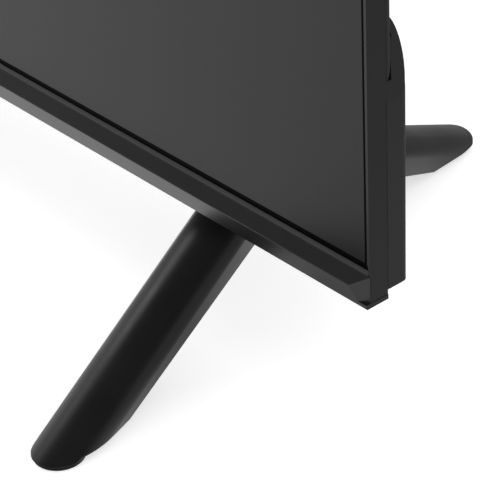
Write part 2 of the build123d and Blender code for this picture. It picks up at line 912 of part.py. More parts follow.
# The timing board lies over the panel driver boards, with its stand-offs below and above them
source_low = 32.0
source_high = 48.0
timing_half = 83.0
timing_below = 10.0
timing_above = 14.0
boards["timing_board"] = (
    -timing_half,
    timing_half,
    height(source_low - timing_below),
    height(source_high + timing_above),
)
standoff_inset = 5.0
standoff_radius = 3.2
board_hole = 1.6
board_screw_radius = 1.4
board_screw_head = 2.8
board_screw_height = 1.8
board_screw_tip = 6.0


def board_corners(x0, x1, z0, z1):
    """Centres of the four fixing holes of a board, as seen from behind."""
    inset = standoff_inset
    return [(-x, z) for x in (x0 + inset, x1 - inset) for z in (z0 + inset, z1 - inset)]


corner_points = [point for board in boards.values() for point in board_corners(*board)]
for board_name, (x0, x1, z0, z1) in boards.items():
    with BuildPart() as board_piece:
        block(x0, x1, depth(board_depth), depth(board_back), z0, z1)
        with BuildSketch(facing(depth(board_depth))):
            with Locations(*board_corners(x0, x1, z0, z1)):
                Circle(board_hole)
        extrude(amount=board_thickness, mode=Mode.SUBTRACT)
    finish(board_piece, board_name)

with BuildPart() as board_standoffs:
    with BuildSketch(facing(depth(back_depth))):
        with Locations(*corner_points):
            Circle(standoff_radius)
            Circle(board_hole, mode=Mode.SUBTRACT)
    extrude(amount=board_depth - back_depth)
finish(board_standoffs, "board_standoffs")

with BuildPart() as board_screws:
    with BuildSketch(facing(depth(board_back - board_screw_tip))):
        with Locations(*corner_points):
            Circle(board_screw_radius)
    extrude(amount=board_screw_tip)
    with BuildSketch(facing(depth(board_back))):
        with Locations(*corner_points):
            Circle(board_screw_head)
    extrude(amount=board_screw_height)
finish(board_screws, "board_screws")

# Power board parts, standing on the back of the board: the place as shares of the board's width and
# height, then the size as shares of the board's height
transformer_shares = [
    (0.161, 0.512, 0.202, 0.238, 0.143),
    (0.415, 0.333, 0.179, 0.190, 0.131),
    (0.714, 0.274, 0.143, 0.155, 0.107),
]
capacitor_shares = [
    (0.138, 0.214, 0.065, 0.202),
    (0.276, 0.185, 0.054, 0.179),
    (0.599, 0.750, 0.036, 0.119),
    (0.691, 0.750, 0.036, 0.119),
    (0.783, 0.750, 0.036, 0.119),
]
power_sink_shares = [
    (0.336, 0.780, 0.357, 0.036, 0.155),
    (0.853, 0.512, 0.036, 0.298, 0.155),
]
transformer_round = 3.0
capacitor_round = 0.9
power_left, power_right, power_low, power_high = boards["power_board"]
power_width = power_right - power_left
power_height = power_high - power_low


def board_spot(across, up):
    """Place on the power board from its shares."""
    return power_left + across * power_width, power_low + up * power_height


def board_block(across, up, *size_shares):
    """A block standing on the back of the power board."""
    x, z = board_spot(across, up)
    wide, tall, deep = [share * power_height for share in size_shares]
    back = depth(board_back + deep)
    block(x - wide / 2, x + wide / 2, depth(board_back), back, z - tall / 2, z + tall / 2)


with BuildPart() as power_transformers:
    for shares in transformer_shares:
        board_block(*shares)
    fillet(power_transformers.edges().filter_by(Axis.Y), transformer_round)
finish(power_transformers, "power_transformers")

with BuildPart() as power_capacitors:
    for across, up, radius_share, length_share in capacitor_shares:
        x, z = board_spot(across, up)
        with BuildSketch(facing(depth(board_back))):
            with Locations((-x, z)):
                Circle(radius_share * power_height)
        extrude(amount=length_share * power_height)
    fillet(power_capacitors.faces().filter_by(Axis.Y).edges(), capacitor_round)
finish(power_capacitors, "power_capacitors")

with BuildPart() as power_heat_sinks:
    for shares in power_sink_shares:
        board_block(*shares)
finish(power_heat_sinks, "power_heat_sinks")

# Mains inlet: a two-pin socket let into the floor of its pocket
inlet_front = 34.0
inlet_back = inlet_pocket[2] + pocket_wall
inlet_flange = 1.5
inlet_margin = 3.0
socket_wall = 2.2
pin_radius = 1.2
pin_pitch = 8.6

with BuildPart() as mains_inlet:
    with BuildSketch(facing(depth(inlet_front))):
        with Locations((-inlet_x, inlet_z)):
            Rectangle(inlet_width, inlet_height)
    extrude(amount=inlet_back - inlet_front)
    with BuildSketch(facing(depth(inlet_back))):
        with Locations((-inlet_x, inlet_z)):
            RectangleRounded(inlet_width + 2 * inlet_margin, inlet_height + 2 * inlet_margin, inlet_margin)
    extrude(amount=inlet_flange)
    with BuildSketch(facing(depth(inlet_front + socket_wall))):
        with Locations((-inlet_x, inlet_z)):
            SlotOverall(inlet_width - 2 * socket_wall, inlet_height - 2 * socket_wall)
    extrude(amount=inlet_back + inlet_flange - inlet_front, mode=Mode.SUBTRACT)
    with BuildSketch(facing(depth(inlet_front + socket_wall))):
        with Locations((-inlet_x, inlet_z)):
            with GridLocations(pin_pitch, pin_pitch, 2, 1):
                Circle(pin_radius)
    extrude(amount=inlet_back - inlet_front - 2 * socket_wall)
finish(mains_inlet, "mains_inlet")

# Sockets on the main board
side_socket_length = 14.0
side_socket_front = side_pocket[0] + pocket_wall
socket_shell = 0.5
tongue_thickness = 1.4
tongue_margin = 1.6

with BuildPart() as side_sockets:
    with BuildSketch(Plane.YZ.offset(side_socket_front - side_socket_length)):
        with Locations((depth(board_back + side_socket_depth / 2), side_socket_z)):
            with GridLocations(side_socket_depth, side_socket_pitch, 1, side_socket_count):
                Rectangle(side_socket_depth, side_socket_width)
    extrude(amount=side_socket_length)
    with BuildSketch(Plane.YZ.offset(side_socket_front - side_socket_length + 2 * tongue_margin)):
        with Locations((depth(board_back + side_socket_depth / 2), side_socket_z)):
            with GridLocations(side_socket_depth, side_socket_pitch, 1, side_socket_count):
                Rectangle(side_socket_depth - 2 * socket_shell, side_socket_width - 2 * socket_shell)
                Rectangle(tongue_thickness, side_socket_width - 2 * tongue_margin, mode=Mode.SUBTRACT)
    extrude(amount=side_socket_length, mode=Mode.SUBTRACT)
finish(side_sockets, "side_sockets")

low_socket_front = low_pocket[4] - pocket_wall
low_socket_length = 18.0
network_hollow_width = 11.8
network_hollow_depth = 8.4
optical_hollow = 6.0
socket_floor = 3.0

with BuildPart() as lower_sockets:
    with BuildSketch(Plane.XY.offset(low_socket_front)):
        with Locations((antenna_x, depth(low_socket_depth))):
            Circle(antenna_radius)
        with Locations((network_x, depth(low_socket_depth))):
            Rectangle(network_width, network_depth)
        with Locations((optical_x, depth(low_socket_depth))):
            Rectangle(optical_width, optical_width)
    extrude(amount=low_socket_length)
    with BuildSketch(Plane.XY.offset(low_socket_front - overrun)):
        with Locations((antenna_x, depth(low_socket_depth))):
            Circle(antenna_radius)
    extrude(amount=overrun)
    with BuildSketch(Plane.XY.offset(low_socket_front)):
        with Locations((network_x, depth(low_socket_depth))):
            Rectangle(network_hollow_width, network_hollow_depth)
        with Locations((optical_x, depth(low_socket_depth))):
            Rectangle(optical_hollow, optical_hollow)
    extrude(amount=low_socket_length - socket_floor, mode=Mode.SUBTRACT)
    for body_x, body_depth in ((antenna_x, 2 * antenna_radius), (optical_x, optical_width)):
        foot_front = low_socket_depth - body_depth / 2
        block(
            body_x - pin_pitch / 2,
            body_x + pin_pitch / 2,
            depth(board_back),
            depth(foot_front) + socket_floor,
            low_socket_front + low_socket_length - 2 * socket_floor,
            low_socket_front + low_socket_length,
        )
finish(lower_sockets, "lower_sockets")

# Processor heat sink: a base with upright fins
sink_x = 240.0
sink_z = 150.0
sink_size = 50.0
sink_base = 3.0
sink_fin = 1.4
sink_fin_height = 11.0
sink_fin_count = 9

with BuildPart() as processor_heat_sink:
    block(
        sink_x - sink_size / 2,
        sink_x + sink_size / 2,
        depth(board_back),
        depth(board_back + sink_base),
        height(sink_z) - sink_size / 2,
        height(sink_z) + sink_size / 2,
    )
    with Locations((sink_x, depth(board_back + sink_base + sink_fin_height / 2), height(sink_z))):
        with GridLocations((sink_size - sink_fin) / (sink_fin_count - 1), sink_size, sink_fin_count, 1):
            Box(sink_fin, sink_fin_height, sink_size)
finish(processor_heat_sink, "processor_heat_sink")

# Panel driver boards at the lower edge, and the flexible films that reach them round the frame
source_front = back_depth + clearance
source_thickness = 1.2
source_start = 44.0
source_end = 400.0
film_thickness = 0.2
film_width = 24.0
film_front = 3.5
film_z = 7.0
film_fold = 6.0
film_shares = [0.108, 0.288, 0.405, 0.558, 0.674]

with BuildPart() as source_boards:
    for side in (-1, 1):
        board_x = sorted((side * source_start, side * source_end))
        block(
            *board_x,
            depth(source_front),
            depth(source_front + source_thickness),
            height(source_low),
            height(source_high),
        )
finish(source_boards, "source_boards")

with BuildPart() as panel_films:
    film_back = source_front - film_thickness / 2
    film_low = height(film_z)
    for share in film_shares:
        for side in (-1, 1):
            film_middle = side * share * half_width
            film_x = (film_middle - film_width / 2, film_middle + film_width / 2)
            block(*film_x, depth(film_front), depth(film_front + film_thickness), film_low, glass_bottom)
            block(*film_x, depth(film_front), depth(film_back), film_low, film_low + film_thickness)
            block(
                *film_x,
                depth(film_back - film_thickness),
                depth(film_back),
                film_low,
                height(source_high - film_fold),
            )
finish(panel_films, "panel_films")

# Flat cable from the main board to the timing board, lying on both
cable_thickness = 0.3
cable_width = 22.0
cable_left = 48.0
cable_right = 142.0
cable_low = 30.0
cable_high = 98.0

with BuildPart() as flat_cable:
    cable_y = (depth(board_back), depth(board_back + cable_thickness))
    block(cable_left, cable_left + cable_width, *cable_y, height(cable_low), height(cable_high))
    block(cable_left, cable_right, *cable_y, height(cable_high) - cable_width, height(cable_high))
finish(flat_cable, "flat_cable")

# Loudspeakers: a closed box on each side that fires down through the floor slots
box_depth_front = 16.0
box_depth_back = 60.0
box_top = 54.0
box_wall = 2.0
driver_radius_long = 30.0
driver_radius_short = 13.0
driver_height = 16.0
driver_rim = 2.0
mount_height = 1.2
box_bottom = floor_top + mount_height
driver_play = 0.1

for side, box_name in ((1, "speaker_box_right"), (-1, "speaker_box_left")):
    with BuildPart() as speaker_box:
        block(
            side * speaker_x - box_width / 2,
            side * speaker_x + box_width / 2,
            depth(box_depth_front),
            depth(box_depth_back),
            box_bottom,
            height(box_top),
        )
        fillet(speaker_box.edges().filter_by(Axis.Z), box_wall * 2)
        block(
            side * speaker_x - box_width / 2 + box_wall,
            side * speaker_x + box_width / 2 - box_wall,
            depth(box_depth_front + box_wall),
            depth(box_depth_back - box_wall),
            box_bottom + box_wall,
            height(box_top) - box_wall,
            mode=Mode.SUBTRACT,
        )
        with BuildSketch(Plane.XY.offset(box_bottom)):
            with Locations((side * speaker_x, depth(speaker_depth))):
                Ellipse(driver_radius_long + driver_play, driver_radius_short + driver_play)
        extrude(amount=box_wall, mode=Mode.SUBTRACT)
    finish(speaker_box, box_name)

with BuildPart() as speaker_drivers:
    for side in (-1, 1):
        with BuildSketch(Plane.XY.offset(box_bottom)):
            with Locations((side * speaker_x, depth(speaker_depth))):
                Ellipse(driver_radius_long, driver_radius_short)
        extrude(amount=driver_height)
        with BuildSketch(Plane.XY.offset(box_bottom + box_wall)):
            with Locations((side * speaker_x, depth(speaker_depth))):
                Ellipse(driver_radius_long + driver_rim, driver_radius_short + driver_rim)
        extrude(amount=driver_rim)
finish(speaker_drivers, "speaker_drivers")

with BuildPart() as speaker_mounts:
    for side in (-1, 1):
        with BuildSketch(Plane.XY.offset(floor_top)):
            with Locations((side * speaker_x, depth((box_depth_front + box_depth_back) / 2))):
                with GridLocations(box_width - 6 * box_wall, grille_length + 4 * box_wall, 2, 1):
                    Rectangle(2 * box_wall, grille_length)
        extrude(amount=mount_height)
finish(speaker_mounts, "speaker_mounts")

# Power key under the bezel, its holder, switch and board
key_proud = 0.8
key_flange = 1.0
key_flange_margin = 1.2
key_travel = 0.6
key_rest_gap = 0.2
key_round = 0.8
key_stem = 3.0
switch_height = 1.6
switch_size = 4.6
holder_wall = 0.8
holder_play = 0.2
key_board_thickness = 1.0
key_y = depth(floor_middle)
flange_z = height(chin_floor) + key_rest_gap
flange_top = flange_z + key_flange
switch_z = flange_top + key_travel
key_board_z = switch_z + switch_height
holder_top = key_board_z
holder_rim = holder_play + holder_wall
flange_length = button_length + 2 * key_flange_margin
flange_width = button_width + key_flange_margin

with BuildPart() as power_button:
    with BuildSketch(Plane.XY.offset(body_bottom - key_proud)):
        with Locations((button_x, key_y)):
            RectangleRounded(button_length, button_width, key_round)
    extrude(amount=flange_z - body_bottom + key_proud)
    fillet(power_button.faces().sort_by(Axis.Z)[0].edges(), key_round / 2)
    with BuildSketch(Plane.XY.offset(flange_z)):
        with Locations((button_x, key_y)):
            Rectangle(flange_length, flange_width)
    extrude(amount=key_flange)
finish(power_button, "power_button")

with BuildPart() as button_holder:
    with BuildSketch(Plane.XY.offset(height(chin_floor))):
        with Locations((button_x, key_y)):
            Rectangle(flange_length + 2 * holder_rim, flange_width + 2 * holder_rim)
            Rectangle(flange_length + 2 * holder_play, flange_width + 2 * holder_play, mode=Mode.SUBTRACT)
    extrude(amount=holder_top - height(chin_floor))
finish(button_holder, "button_holder")

with BuildPart() as button_board:
    with BuildSketch(Plane.XY.offset(key_board_z)):
        with Locations((button_x, key_y)):
            Rectangle(flange_length + 2 * holder_rim, flange_width + 2 * holder_rim)
    extrude(amount=key_board_thickness)
finish(button_board, "button_board")

with BuildPart() as tact_switch:
    with BuildSketch(Plane.XY.offset(switch_z)):
        with Locations((button_x, key_y)):
            Rectangle(switch_size, switch_size)
    extrude(amount=switch_height)
finish(tact_switch, "tact_switch")

# Remote receiver behind its window in the bezel floor
window_thickness = 1.6
window_rim = 1.0
receiver_height = 2.4
receiver_board = 0.8
window_y = depth(floor_middle)

with BuildPart() as receiver_window:
    with BuildSketch(Plane.XY.offset(body_bottom + clearance)):
        with Locations((window_x, window_y)):
            Rectangle(window_length, window_width)
    extrude(amount=chin_floor - clearance)
    with BuildSketch(Plane.XY.offset(height(chin_floor))):
        with Locations((window_x, window_y)):
            Rectangle(window_length + 2 * window_rim, window_width + window_rim)
    extrude(amount=window_thickness / 2)
finish(receiver_window, "receiver_window")

with BuildPart() as receiver_board_piece:
    with BuildSketch(Plane.XY.offset(height(chin_floor) + window_thickness / 2)):
        with Locations((window_x, window_y)):
            Rectangle(window_width, window_width)
    extrude(amount=receiver_height)
    with BuildSketch(Plane.XY.offset(height(chin_floor) + window_thickness / 2 + receiver_height)):
        with Locations((window_x, window_y)):
            Rectangle(2 * window_length, window_width + window_rim)
    extrude(amount=receiver_board)
finish(receiver_board_piece, "receiver_board")
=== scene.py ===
import json
import math

import bmesh
import bpy
from mathutils import Matrix, Vector


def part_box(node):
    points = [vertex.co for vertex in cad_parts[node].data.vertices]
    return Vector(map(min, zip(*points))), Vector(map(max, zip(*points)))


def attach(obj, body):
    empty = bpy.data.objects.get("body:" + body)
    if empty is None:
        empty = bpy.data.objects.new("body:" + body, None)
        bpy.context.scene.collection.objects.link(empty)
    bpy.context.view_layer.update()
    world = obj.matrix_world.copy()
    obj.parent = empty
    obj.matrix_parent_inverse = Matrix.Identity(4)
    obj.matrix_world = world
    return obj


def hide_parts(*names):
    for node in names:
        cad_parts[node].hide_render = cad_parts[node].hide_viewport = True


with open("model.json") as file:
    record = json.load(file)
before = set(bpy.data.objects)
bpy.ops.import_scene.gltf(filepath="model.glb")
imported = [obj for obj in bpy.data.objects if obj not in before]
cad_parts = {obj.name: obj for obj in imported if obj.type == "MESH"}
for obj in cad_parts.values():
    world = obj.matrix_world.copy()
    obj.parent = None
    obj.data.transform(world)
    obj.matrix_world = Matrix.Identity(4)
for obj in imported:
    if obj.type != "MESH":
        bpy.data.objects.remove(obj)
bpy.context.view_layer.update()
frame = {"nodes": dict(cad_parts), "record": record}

nodes = frame["nodes"]
slotOf = {part["node"]: part["material_slot"] for part in frame["record"]["subparts"]}
print("frame loaded:", len(nodes), "nodes")

# The camera stands at the front right and looks down at the lower right corner of the set
camera = {
    "place": (1.00303, -0.46942, 0.48689),
    "azimuth": 50.14,
    "elevation": 33.02,
    "roll": -2.85,
    "lens": 154.44,
    "sensor": 36.0,
    "near": 0.02,
    "far": 60.0,
}


def placeCamera():
    bpy.ops.object.camera_add(location=camera["place"])
    eye = bpy.context.object
    eye.name = "photoCamera"
    turn = Matrix.Rotation(math.radians(camera["azimuth"]), 4, "Z")
    tilt = Matrix.Rotation(math.radians(90.0 - camera["elevation"]), 4, "X")
    roll = Matrix.Rotation(math.radians(camera["roll"]), 4, "Z")
    eye.rotation_euler = (turn @ tilt @ roll).to_euler()
    eye.data.lens = camera["lens"]
    eye.data.sensor_width = camera["sensor"]
    eye.data.clip_start = camera["near"]
    eye.data.clip_end = camera["far"]
    bpy.context.scene.camera = eye


placeCamera()
print("camera placed")


def newNode(tree, kind, place, inputs=None, **options):
    made = tree.nodes.new(kind)
    made.location = place
    for name, value in options.items():
        setattr(made, name, value)
    for label, value in (inputs or {}).items():
        made.inputs[label].default_value = value
    return made


def newGroup(name, inputs, outputs):
    tree = bpy.data.node_groups.new(name, "ShaderNodeTree")
    for label, kind, value in inputs:
        socket = tree.interface.new_socket(name=label, in_out="INPUT", socket_type=kind)
        if value is not None:
            socket.default_value = value
    for label, kind in outputs:
        tree.interface.new_socket(name=label, in_out="OUTPUT", socket_type=kind)
    entry = newNode(tree, "NodeGroupInput", (-900, 0))
    result = newNode(tree, "NodeGroupOutput", (700, 0))
    return tree, entry.outputs, result.inputs


def useGroup(tree, name, place, inputs=None):
    made = newNode(tree, "ShaderNodeGroup", place, node_tree=bpy.data.node_groups[name])
    for label, value in (inputs or {}).items():
        made.inputs[label].default_value = value
    return made


# A vector divided by a size in metres, so that a texture of scale 1 has features of that size
def scaledVector(tree, entry, place):
    divide = newNode(tree, "ShaderNodeMath", place, {0: 1.0}, operation="DIVIDE")
    tree.links.new(entry["Size"], divide.inputs[1])
    scale = newNode(tree, "ShaderNodeVectorMath", (place[0] + 180, place[1]), operation="SCALE")
    tree.links.new(entry["Vector"], scale.inputs[0])
    tree.links.new(divide.outputs[0], scale.inputs["Scale"])
    return scale.outputs[0]


def buildColourDrift():
    inputs = [
        ("Vector", "NodeSocketVector", None),
        ("Base", "NodeSocketColor", None),
        ("Drift", "NodeSocketColor", None),
        ("Size", "NodeSocketFloat", 0.05),
    ]
    tree, entry, result = newGroup("colourDrift", inputs, [("Color", "NodeSocketColor")])
    vector = scaledVector(tree, entry, (-700, -200))
    look = {"Scale": 1.0, "Detail": 5.0, "Roughness": 0.6}
    noise = newNode(tree, "ShaderNodeTexNoise", (-300, -100), look)
    spread = newNode(tree, "ShaderNodeMapRange", (-100, -100), {"From Min": 0.34, "From Max": 0.66})
    mix = newNode(tree, "ShaderNodeMix", (300, 0), data_type="RGBA")
    tree.links.new(vector, noise.inputs["Vector"])
    tree.links.new(noise.outputs["Fac"], spread.inputs["Value"])
    tree.links.new(spread.outputs["Result"], mix.inputs["Factor"])
    tree.links.new(entry["Base"], mix.inputs[6])
    tree.links.new(entry["Drift"], mix.inputs[7])
    tree.links.new(mix.outputs[2], result["Color"])


def buildSheenDrift():
    inputs = [
        ("Vector", "NodeSocketVector", None),
        ("Low", "NodeSocketFloat", 0.4),
        ("High", "NodeSocketFloat", 0.5),
        ("Size", "NodeSocketFloat", 0.03),
    ]
    tree, entry, result = newGroup("sheenDrift", inputs, [("Roughness", "NodeSocketFloat")])
    vector = scaledVector(tree, entry, (-700, -200))
    look = {"Scale": 1.0, "Detail": 3.0, "Roughness": 0.5, "Distortion": 0.4}
    noise = newNode(tree, "ShaderNodeTexNoise", (-300, -100), look)
    spread = newNode(tree, "ShaderNodeMapRange", (100, -100), {"From Min": 0.3, "From Max": 0.7})
    tree.links.new(vector, noise.inputs["Vector"])
    tree.links.new(noise.outputs["Fac"], spread.inputs["Value"])
    tree.links.new(entry["Low"], spread.inputs["To Min"])
    tree.links.new(entry["High"], spread.inputs["To Max"])
    tree.links.new(spread.outputs["Result"], result["Roughness"])


def buildMouldGrain():
    inputs = [("Vector", "NodeSocketVector", None), ("Size", "NodeSocketFloat", 0.0003)]
    tree, entry, result = newGroup("mouldGrain", inputs, [("Height", "NodeSocketFloat")])
    vector = scaledVector(tree, entry, (-700, -200))
    look = {"Scale": 1.0, "Detail": 3.0, "Roughness": 0.65}
    noise = newNode(tree, "ShaderNodeTexNoise", (-300, 100), look)
    cells = newNode(
        tree, "ShaderNodeTexVoronoi", (-300, -200), {"Scale": 0.7, "Smoothness": 0.6}, feature="SMOOTH_F1"
    )
    mix = newNode(tree, "ShaderNodeMath", (100, 0), operation="MULTIPLY")
    tree.links.new(vector, noise.inputs["Vector"])
    tree.links.new(vector, cells.inputs["Vector"])
    tree.links.new(noise.outputs["Fac"], mix.inputs[0])
    tree.links.new(cells.outputs["Distance"], mix.inputs[1])
    tree.links.new(mix.outputs[0], result["Height"])


def buildEdgeWear():
    inputs = [
        ("Vector", "NodeSocketVector", None),
        ("Width", "NodeSocketFloat", 0.0003),
        ("Amount", "NodeSocketFloat", 0.4),
    ]
    outputs = [("Mask", "NodeSocketFloat"), ("Normal", "NodeSocketVector")]
    tree, entry, result = newGroup("edgeWear", inputs, outputs)
    bevel = newNode(tree, "ShaderNodeBevel", (-600, 200), samples=4)
    surface = newNode(tree, "ShaderNodeNewGeometry", (-600, 0))
    facing = newNode(tree, "ShaderNodeVectorMath", (-400, 100), operation="DOT_PRODUCT")
    turn = newNode(tree, "ShaderNodeMapRange", (-200, 100), {"From Min": 0.995, "From Max": 0.86})
    look = {"Scale": 260.0, "Detail": 4.0, "Roughness": 0.7}
    noise = newNode(tree, "ShaderNodeTexNoise", (-400, -200), look)
    patches = newNode(tree, "ShaderNodeMapRange", (-200, -200), {"From Min": 0.42, "From Max": 0.62})
    both = newNode(tree, "ShaderNodeMath", (50, 0), operation="MULTIPLY")
    amount = newNode(tree, "ShaderNodeMath", (250, 0), operation="MULTIPLY")
    tree.links.new(entry["Width"], bevel.inputs["Radius"])
    tree.links.new(bevel.outputs["Normal"], facing.inputs[0])
    tree.links.new(surface.outputs["Normal"], facing.inputs[1])
    tree.links.new(facing.outputs["Value"], turn.inputs["Value"])
    tree.links.new(entry["Vector"], noise.inputs["Vector"])
    tree.links.new(noise.outputs["Fac"], patches.inputs["Value"])
    tree.links.new(turn.outputs["Result"], both.inputs[0])
    tree.links.new(patches.outputs["Result"], both.inputs[1])
    tree.links.new(both.outputs[0], amount.inputs[0])
    tree.links.new(entry["Amount"], amount.inputs[1])
    tree.links.new(amount.outputs[0], result["Mask"])
    tree.links.new(bevel.outputs["Normal"], result["Normal"])


def buildRestDust():
    inputs = [("Vector", "NodeSocketVector", None), ("Amount", "NodeSocketFloat", 0.1)]
    tree, entry, result = newGroup("restDust", inputs, [("Mask", "NodeSocketFloat")])
    surface = newNode(tree, "ShaderNodeNewGeometry", (-600, 100))
    split = newNode(tree, "ShaderNodeSeparateXYZ", (-400, 100))
    upward = newNode(tree, "ShaderNodeMapRange", (-200, 100), {"From Min": 0.55, "From Max": 1.0})
    look = {"Scale": 90.0, "Detail": 8.0, "Roughness": 0.75}
    noise = newNode(tree, "ShaderNodeTexNoise", (-400, -200), look)
    specks = newNode(tree, "ShaderNodeMapRange", (-200, -200), {"From Min": 0.4, "From Max": 0.75})
    both = newNode(tree, "ShaderNodeMath", (50, 0), operation="MULTIPLY")
    amount = newNode(tree, "ShaderNodeMath", (250, 0), operation="MULTIPLY")
    tree.links.new(surface.outputs["Normal"], split.inputs[0])
    tree.links.new(split.outputs["Z"], upward.inputs["Value"])
    tree.links.new(entry["Vector"], noise.inputs["Vector"])
    tree.links.new(noise.outputs["Fac"], specks.inputs["Value"])
    tree.links.new(upward.outputs["Result"], both.inputs[0])
    tree.links.new(specks.outputs["Result"], both.inputs[1])
    tree.links.new(both.outputs[0], amount.inputs[0])
    tree.links.new(entry["Amount"], amount.inputs[1])
    tree.links.new(amount.outputs[0], result["Mask"])


def buildBrushedLines():
    inputs = [
        ("Vector", "NodeSocketVector", None),
        ("Stretch", "NodeSocketVector", (1.0, 1.0, 40.0)),
        ("Size", "NodeSocketFloat", 0.01),
    ]
    tree, entry, result = newGroup("brushedLines", inputs, [("Height", "NodeSocketFloat")])
    vector = scaledVector(tree, entry, (-700, -200))
    stretch = newNode(tree, "ShaderNodeVectorMath", (-300, -100), operation="MULTIPLY")
    look = {"Scale": 1.0, "Detail": 6.0, "Roughness": 0.7}
    noise = newNode(tree, "ShaderNodeTexNoise", (-100, -100), look)
    tree.links.new(vector, stretch.inputs[0])
    tree.links.new(entry["Stretch"], stretch.inputs[1])
    tree.links.new(stretch.outputs[0], noise.inputs["Vector"])
    tree.links.new(noise.outputs["Fac"], result["Height"])


buildColourDrift()
buildSheenDrift()
buildMouldGrain()
buildEdgeWear()
buildRestDust()
buildBrushedLines()
print("shared effects built:", len(bpy.data.node_groups))

finishes = {}
dustColour = (0.3, 0.29, 0.27, 1.0)
sheenShare = 0.7  # size of the sheen's drift as a share of the colour's


# One finish: drifting colour, wear on the edges, a little dust, drifting sheen and a fine relief
def makeFinish(slot, look):
    finish = bpy.data.materials.new(slot + "Finish")
    finish.use_nodes = True
    tree = finish.node_tree
    shader = tree.nodes["Principled BSDF"]
    shader.inputs["Metallic"].default_value = look.get("metal", 0.0)
    shader.inputs["Specular IOR Level"].default_value = look.get("specular", 0.5)
    shader.inputs["Coat IOR"].default_value = 1.5
    shader.inputs["Coat Weight"].default_value = look.get("coat", 0.0)
    shader.inputs["Coat Roughness"].default_value = look.get("coatRough", 0.2)
    place = newNode(tree, "ShaderNodeTexCoord", (-1500, 0)).outputs["Object"]
    drift = useGroup(tree, "colourDrift", (-1000, 300), {"Size": look["driftSize"]})
    drift.inputs["Base"].default_value = (*look["colour"], 1.0)
    drift.inputs["Drift"].default_value = (*look["drift"], 1.0)
    wear = useGroup(tree, "edgeWear", (-1000, 0), {"Width": look["edge"], "Amount": look["wear"]})
    dust = useGroup(tree, "restDust", (-1000, -200), {"Amount": look.get("dust", 0.02)})
    sheen = useGroup(tree, "sheenDrift", (-1000, -400), {"Size": look["driftSize"] * sheenShare})
    sheen.inputs["Low"].default_value, sheen.inputs["High"].default_value = look["rough"]
    wornColour = newNode(tree, "ShaderNodeMix", (-600, 200), {7: (*look["worn"], 1.0)}, data_type="RGBA")
    dusty = newNode(tree, "ShaderNodeMix", (-400, 200), {7: dustColour}, data_type="RGBA")
    if "stretch" in look:
        relief = useGroup(tree, "brushedLines", (-1000, -650), {"Stretch": look["stretch"]})
    else:
        relief = useGroup(tree, "mouldGrain", (-1000, -650))
    relief.inputs["Size"].default_value = look["grain"]
    bump = newNode(tree, "ShaderNodeBump", (-400, -400), {"Strength": 1.0, "Distance": look["relief"]})
    for group in (drift, wear, dust, sheen, relief):
        tree.links.new(place, group.inputs["Vector"])
    tree.links.new(drift.outputs["Color"], wornColour.inputs[6])
    tree.links.new(wear.outputs["Mask"], wornColour.inputs["Factor"])
    tree.links.new(wornColour.outputs[2], dusty.inputs[6])
    tree.links.new(dust.outputs["Mask"], dusty.inputs["Factor"])
    tree.links.new(dusty.outputs[2], shader.inputs["Base Color"])
    tree.links.new(sheen.outputs["Roughness"], shader.inputs["Roughness"])
    tree.links.new(relief.outputs["Height"], bump.inputs["Height"])
    tree.links.new(wear.outputs["Normal"], bump.inputs["Normal"])
    tree.links.new(bump.outputs["Normal"], shader.inputs["Normal"])
    finishes[slot] = finish
    return tree, shader, dusty, place


def grey(value):
    return (value, value, value)


# Fine matt mouldings round the screen
bezelLook = {
    "colour": grey(0.0085), "drift": grey(0.0105), "driftSize": 0.04, "rough": (0.34, 0.38), "specular": 0.6,
    "edge": 0.0003, "wear": 0.12, "worn": grey(0.05), "grain": 0.00035, "relief": 0.000004,
    # The last three entries paint a highlight: a lighter grey line along the crease under the top lip
    "paintedRidgeHighlight": grey(0.028), "ridgeRise": 0.0130, "ridgeWidth": 0.0004,
}


# The bezel's finish with a painted highlight: a lighter grey line painted along the crease under its top lip
def makeBezelFinish():
    tree, shader, paint, place = makeFinish("bezel", bezelLook)
    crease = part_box("bottom_bezel")[0].z + bezelLook["ridgeRise"]
    split = newNode(tree, "ShaderNodeSeparateXYZ", (-1000, 800))
    away = newNode(tree, "ShaderNodeMath", (-800, 800), {1: crease}, operation="SUBTRACT")
    distance = newNode(tree, "ShaderNodeMath", (-600, 800), operation="ABSOLUTE")
    paintedRidgeHighlight = newNode(
        tree, "ShaderNodeMapRange", (-400, 800),
        {"From Min": bezelLook["ridgeWidth"], "From Max": bezelLook["ridgeWidth"] / 2},
    )
    # Mixes the painted highlight line into the bezel's base colour
    mix = newNode(tree, "ShaderNodeMix", (0, 500), {7: (*bezelLook["paintedRidgeHighlight"], 1.0)}, data_type="RGBA")
    tree.links.new(place, split.inputs[0])
    tree.links.new(split.outputs["Z"], away.inputs[0])
    tree.links.new(away.outputs[0], distance.inputs[0])
    tree.links.new(distance.outputs[0], paintedRidgeHighlight.inputs["Value"])
    tree.links.new(paintedRidgeHighlight.outputs["Result"], mix.inputs["Factor"])
    tree.links.new(paint.outputs[2], mix.inputs[6])
    tree.links.new(mix.outputs[2], shader.inputs["Base Color"])


makeBezelFinish()
railLook = {
    "colour": grey(0.0125), "drift": grey(0.015), "driftSize": 0.06, "rough": (0.34, 0.39), "specular": 0.4,
    "edge": 0.0002, "wear": 0.15, "worn": grey(0.05), "grain": 0.0004, "relief": 0.000005,
}
makeFinish("rail", railLook)

# Powder coated steel of the thin upper back
backPlateLook = {
    "colour": grey(0.016), "drift": grey(0.021), "driftSize": 0.08, "rough": (0.36, 0.44), "specular": 0.45,
    "edge": 0.0005, "wear": 0.1, "worn": grey(0.06), "grain": 0.0009, "relief": 0.00003,
}
makeFinish("back_plate", backPlateLook)

# Spark eroded moulding of the lower rear housing
housingLook = {
    "colour": grey(0.014), "drift": grey(0.018), "driftSize": 0.07, "rough": (0.35, 0.41), "specular": 0.45,
    "edge": 0.0005, "wear": 0.12, "worn": grey(0.05), "grain": 0.0008, "relief": 0.00002,
}
makeFinish("housing", housingLook)

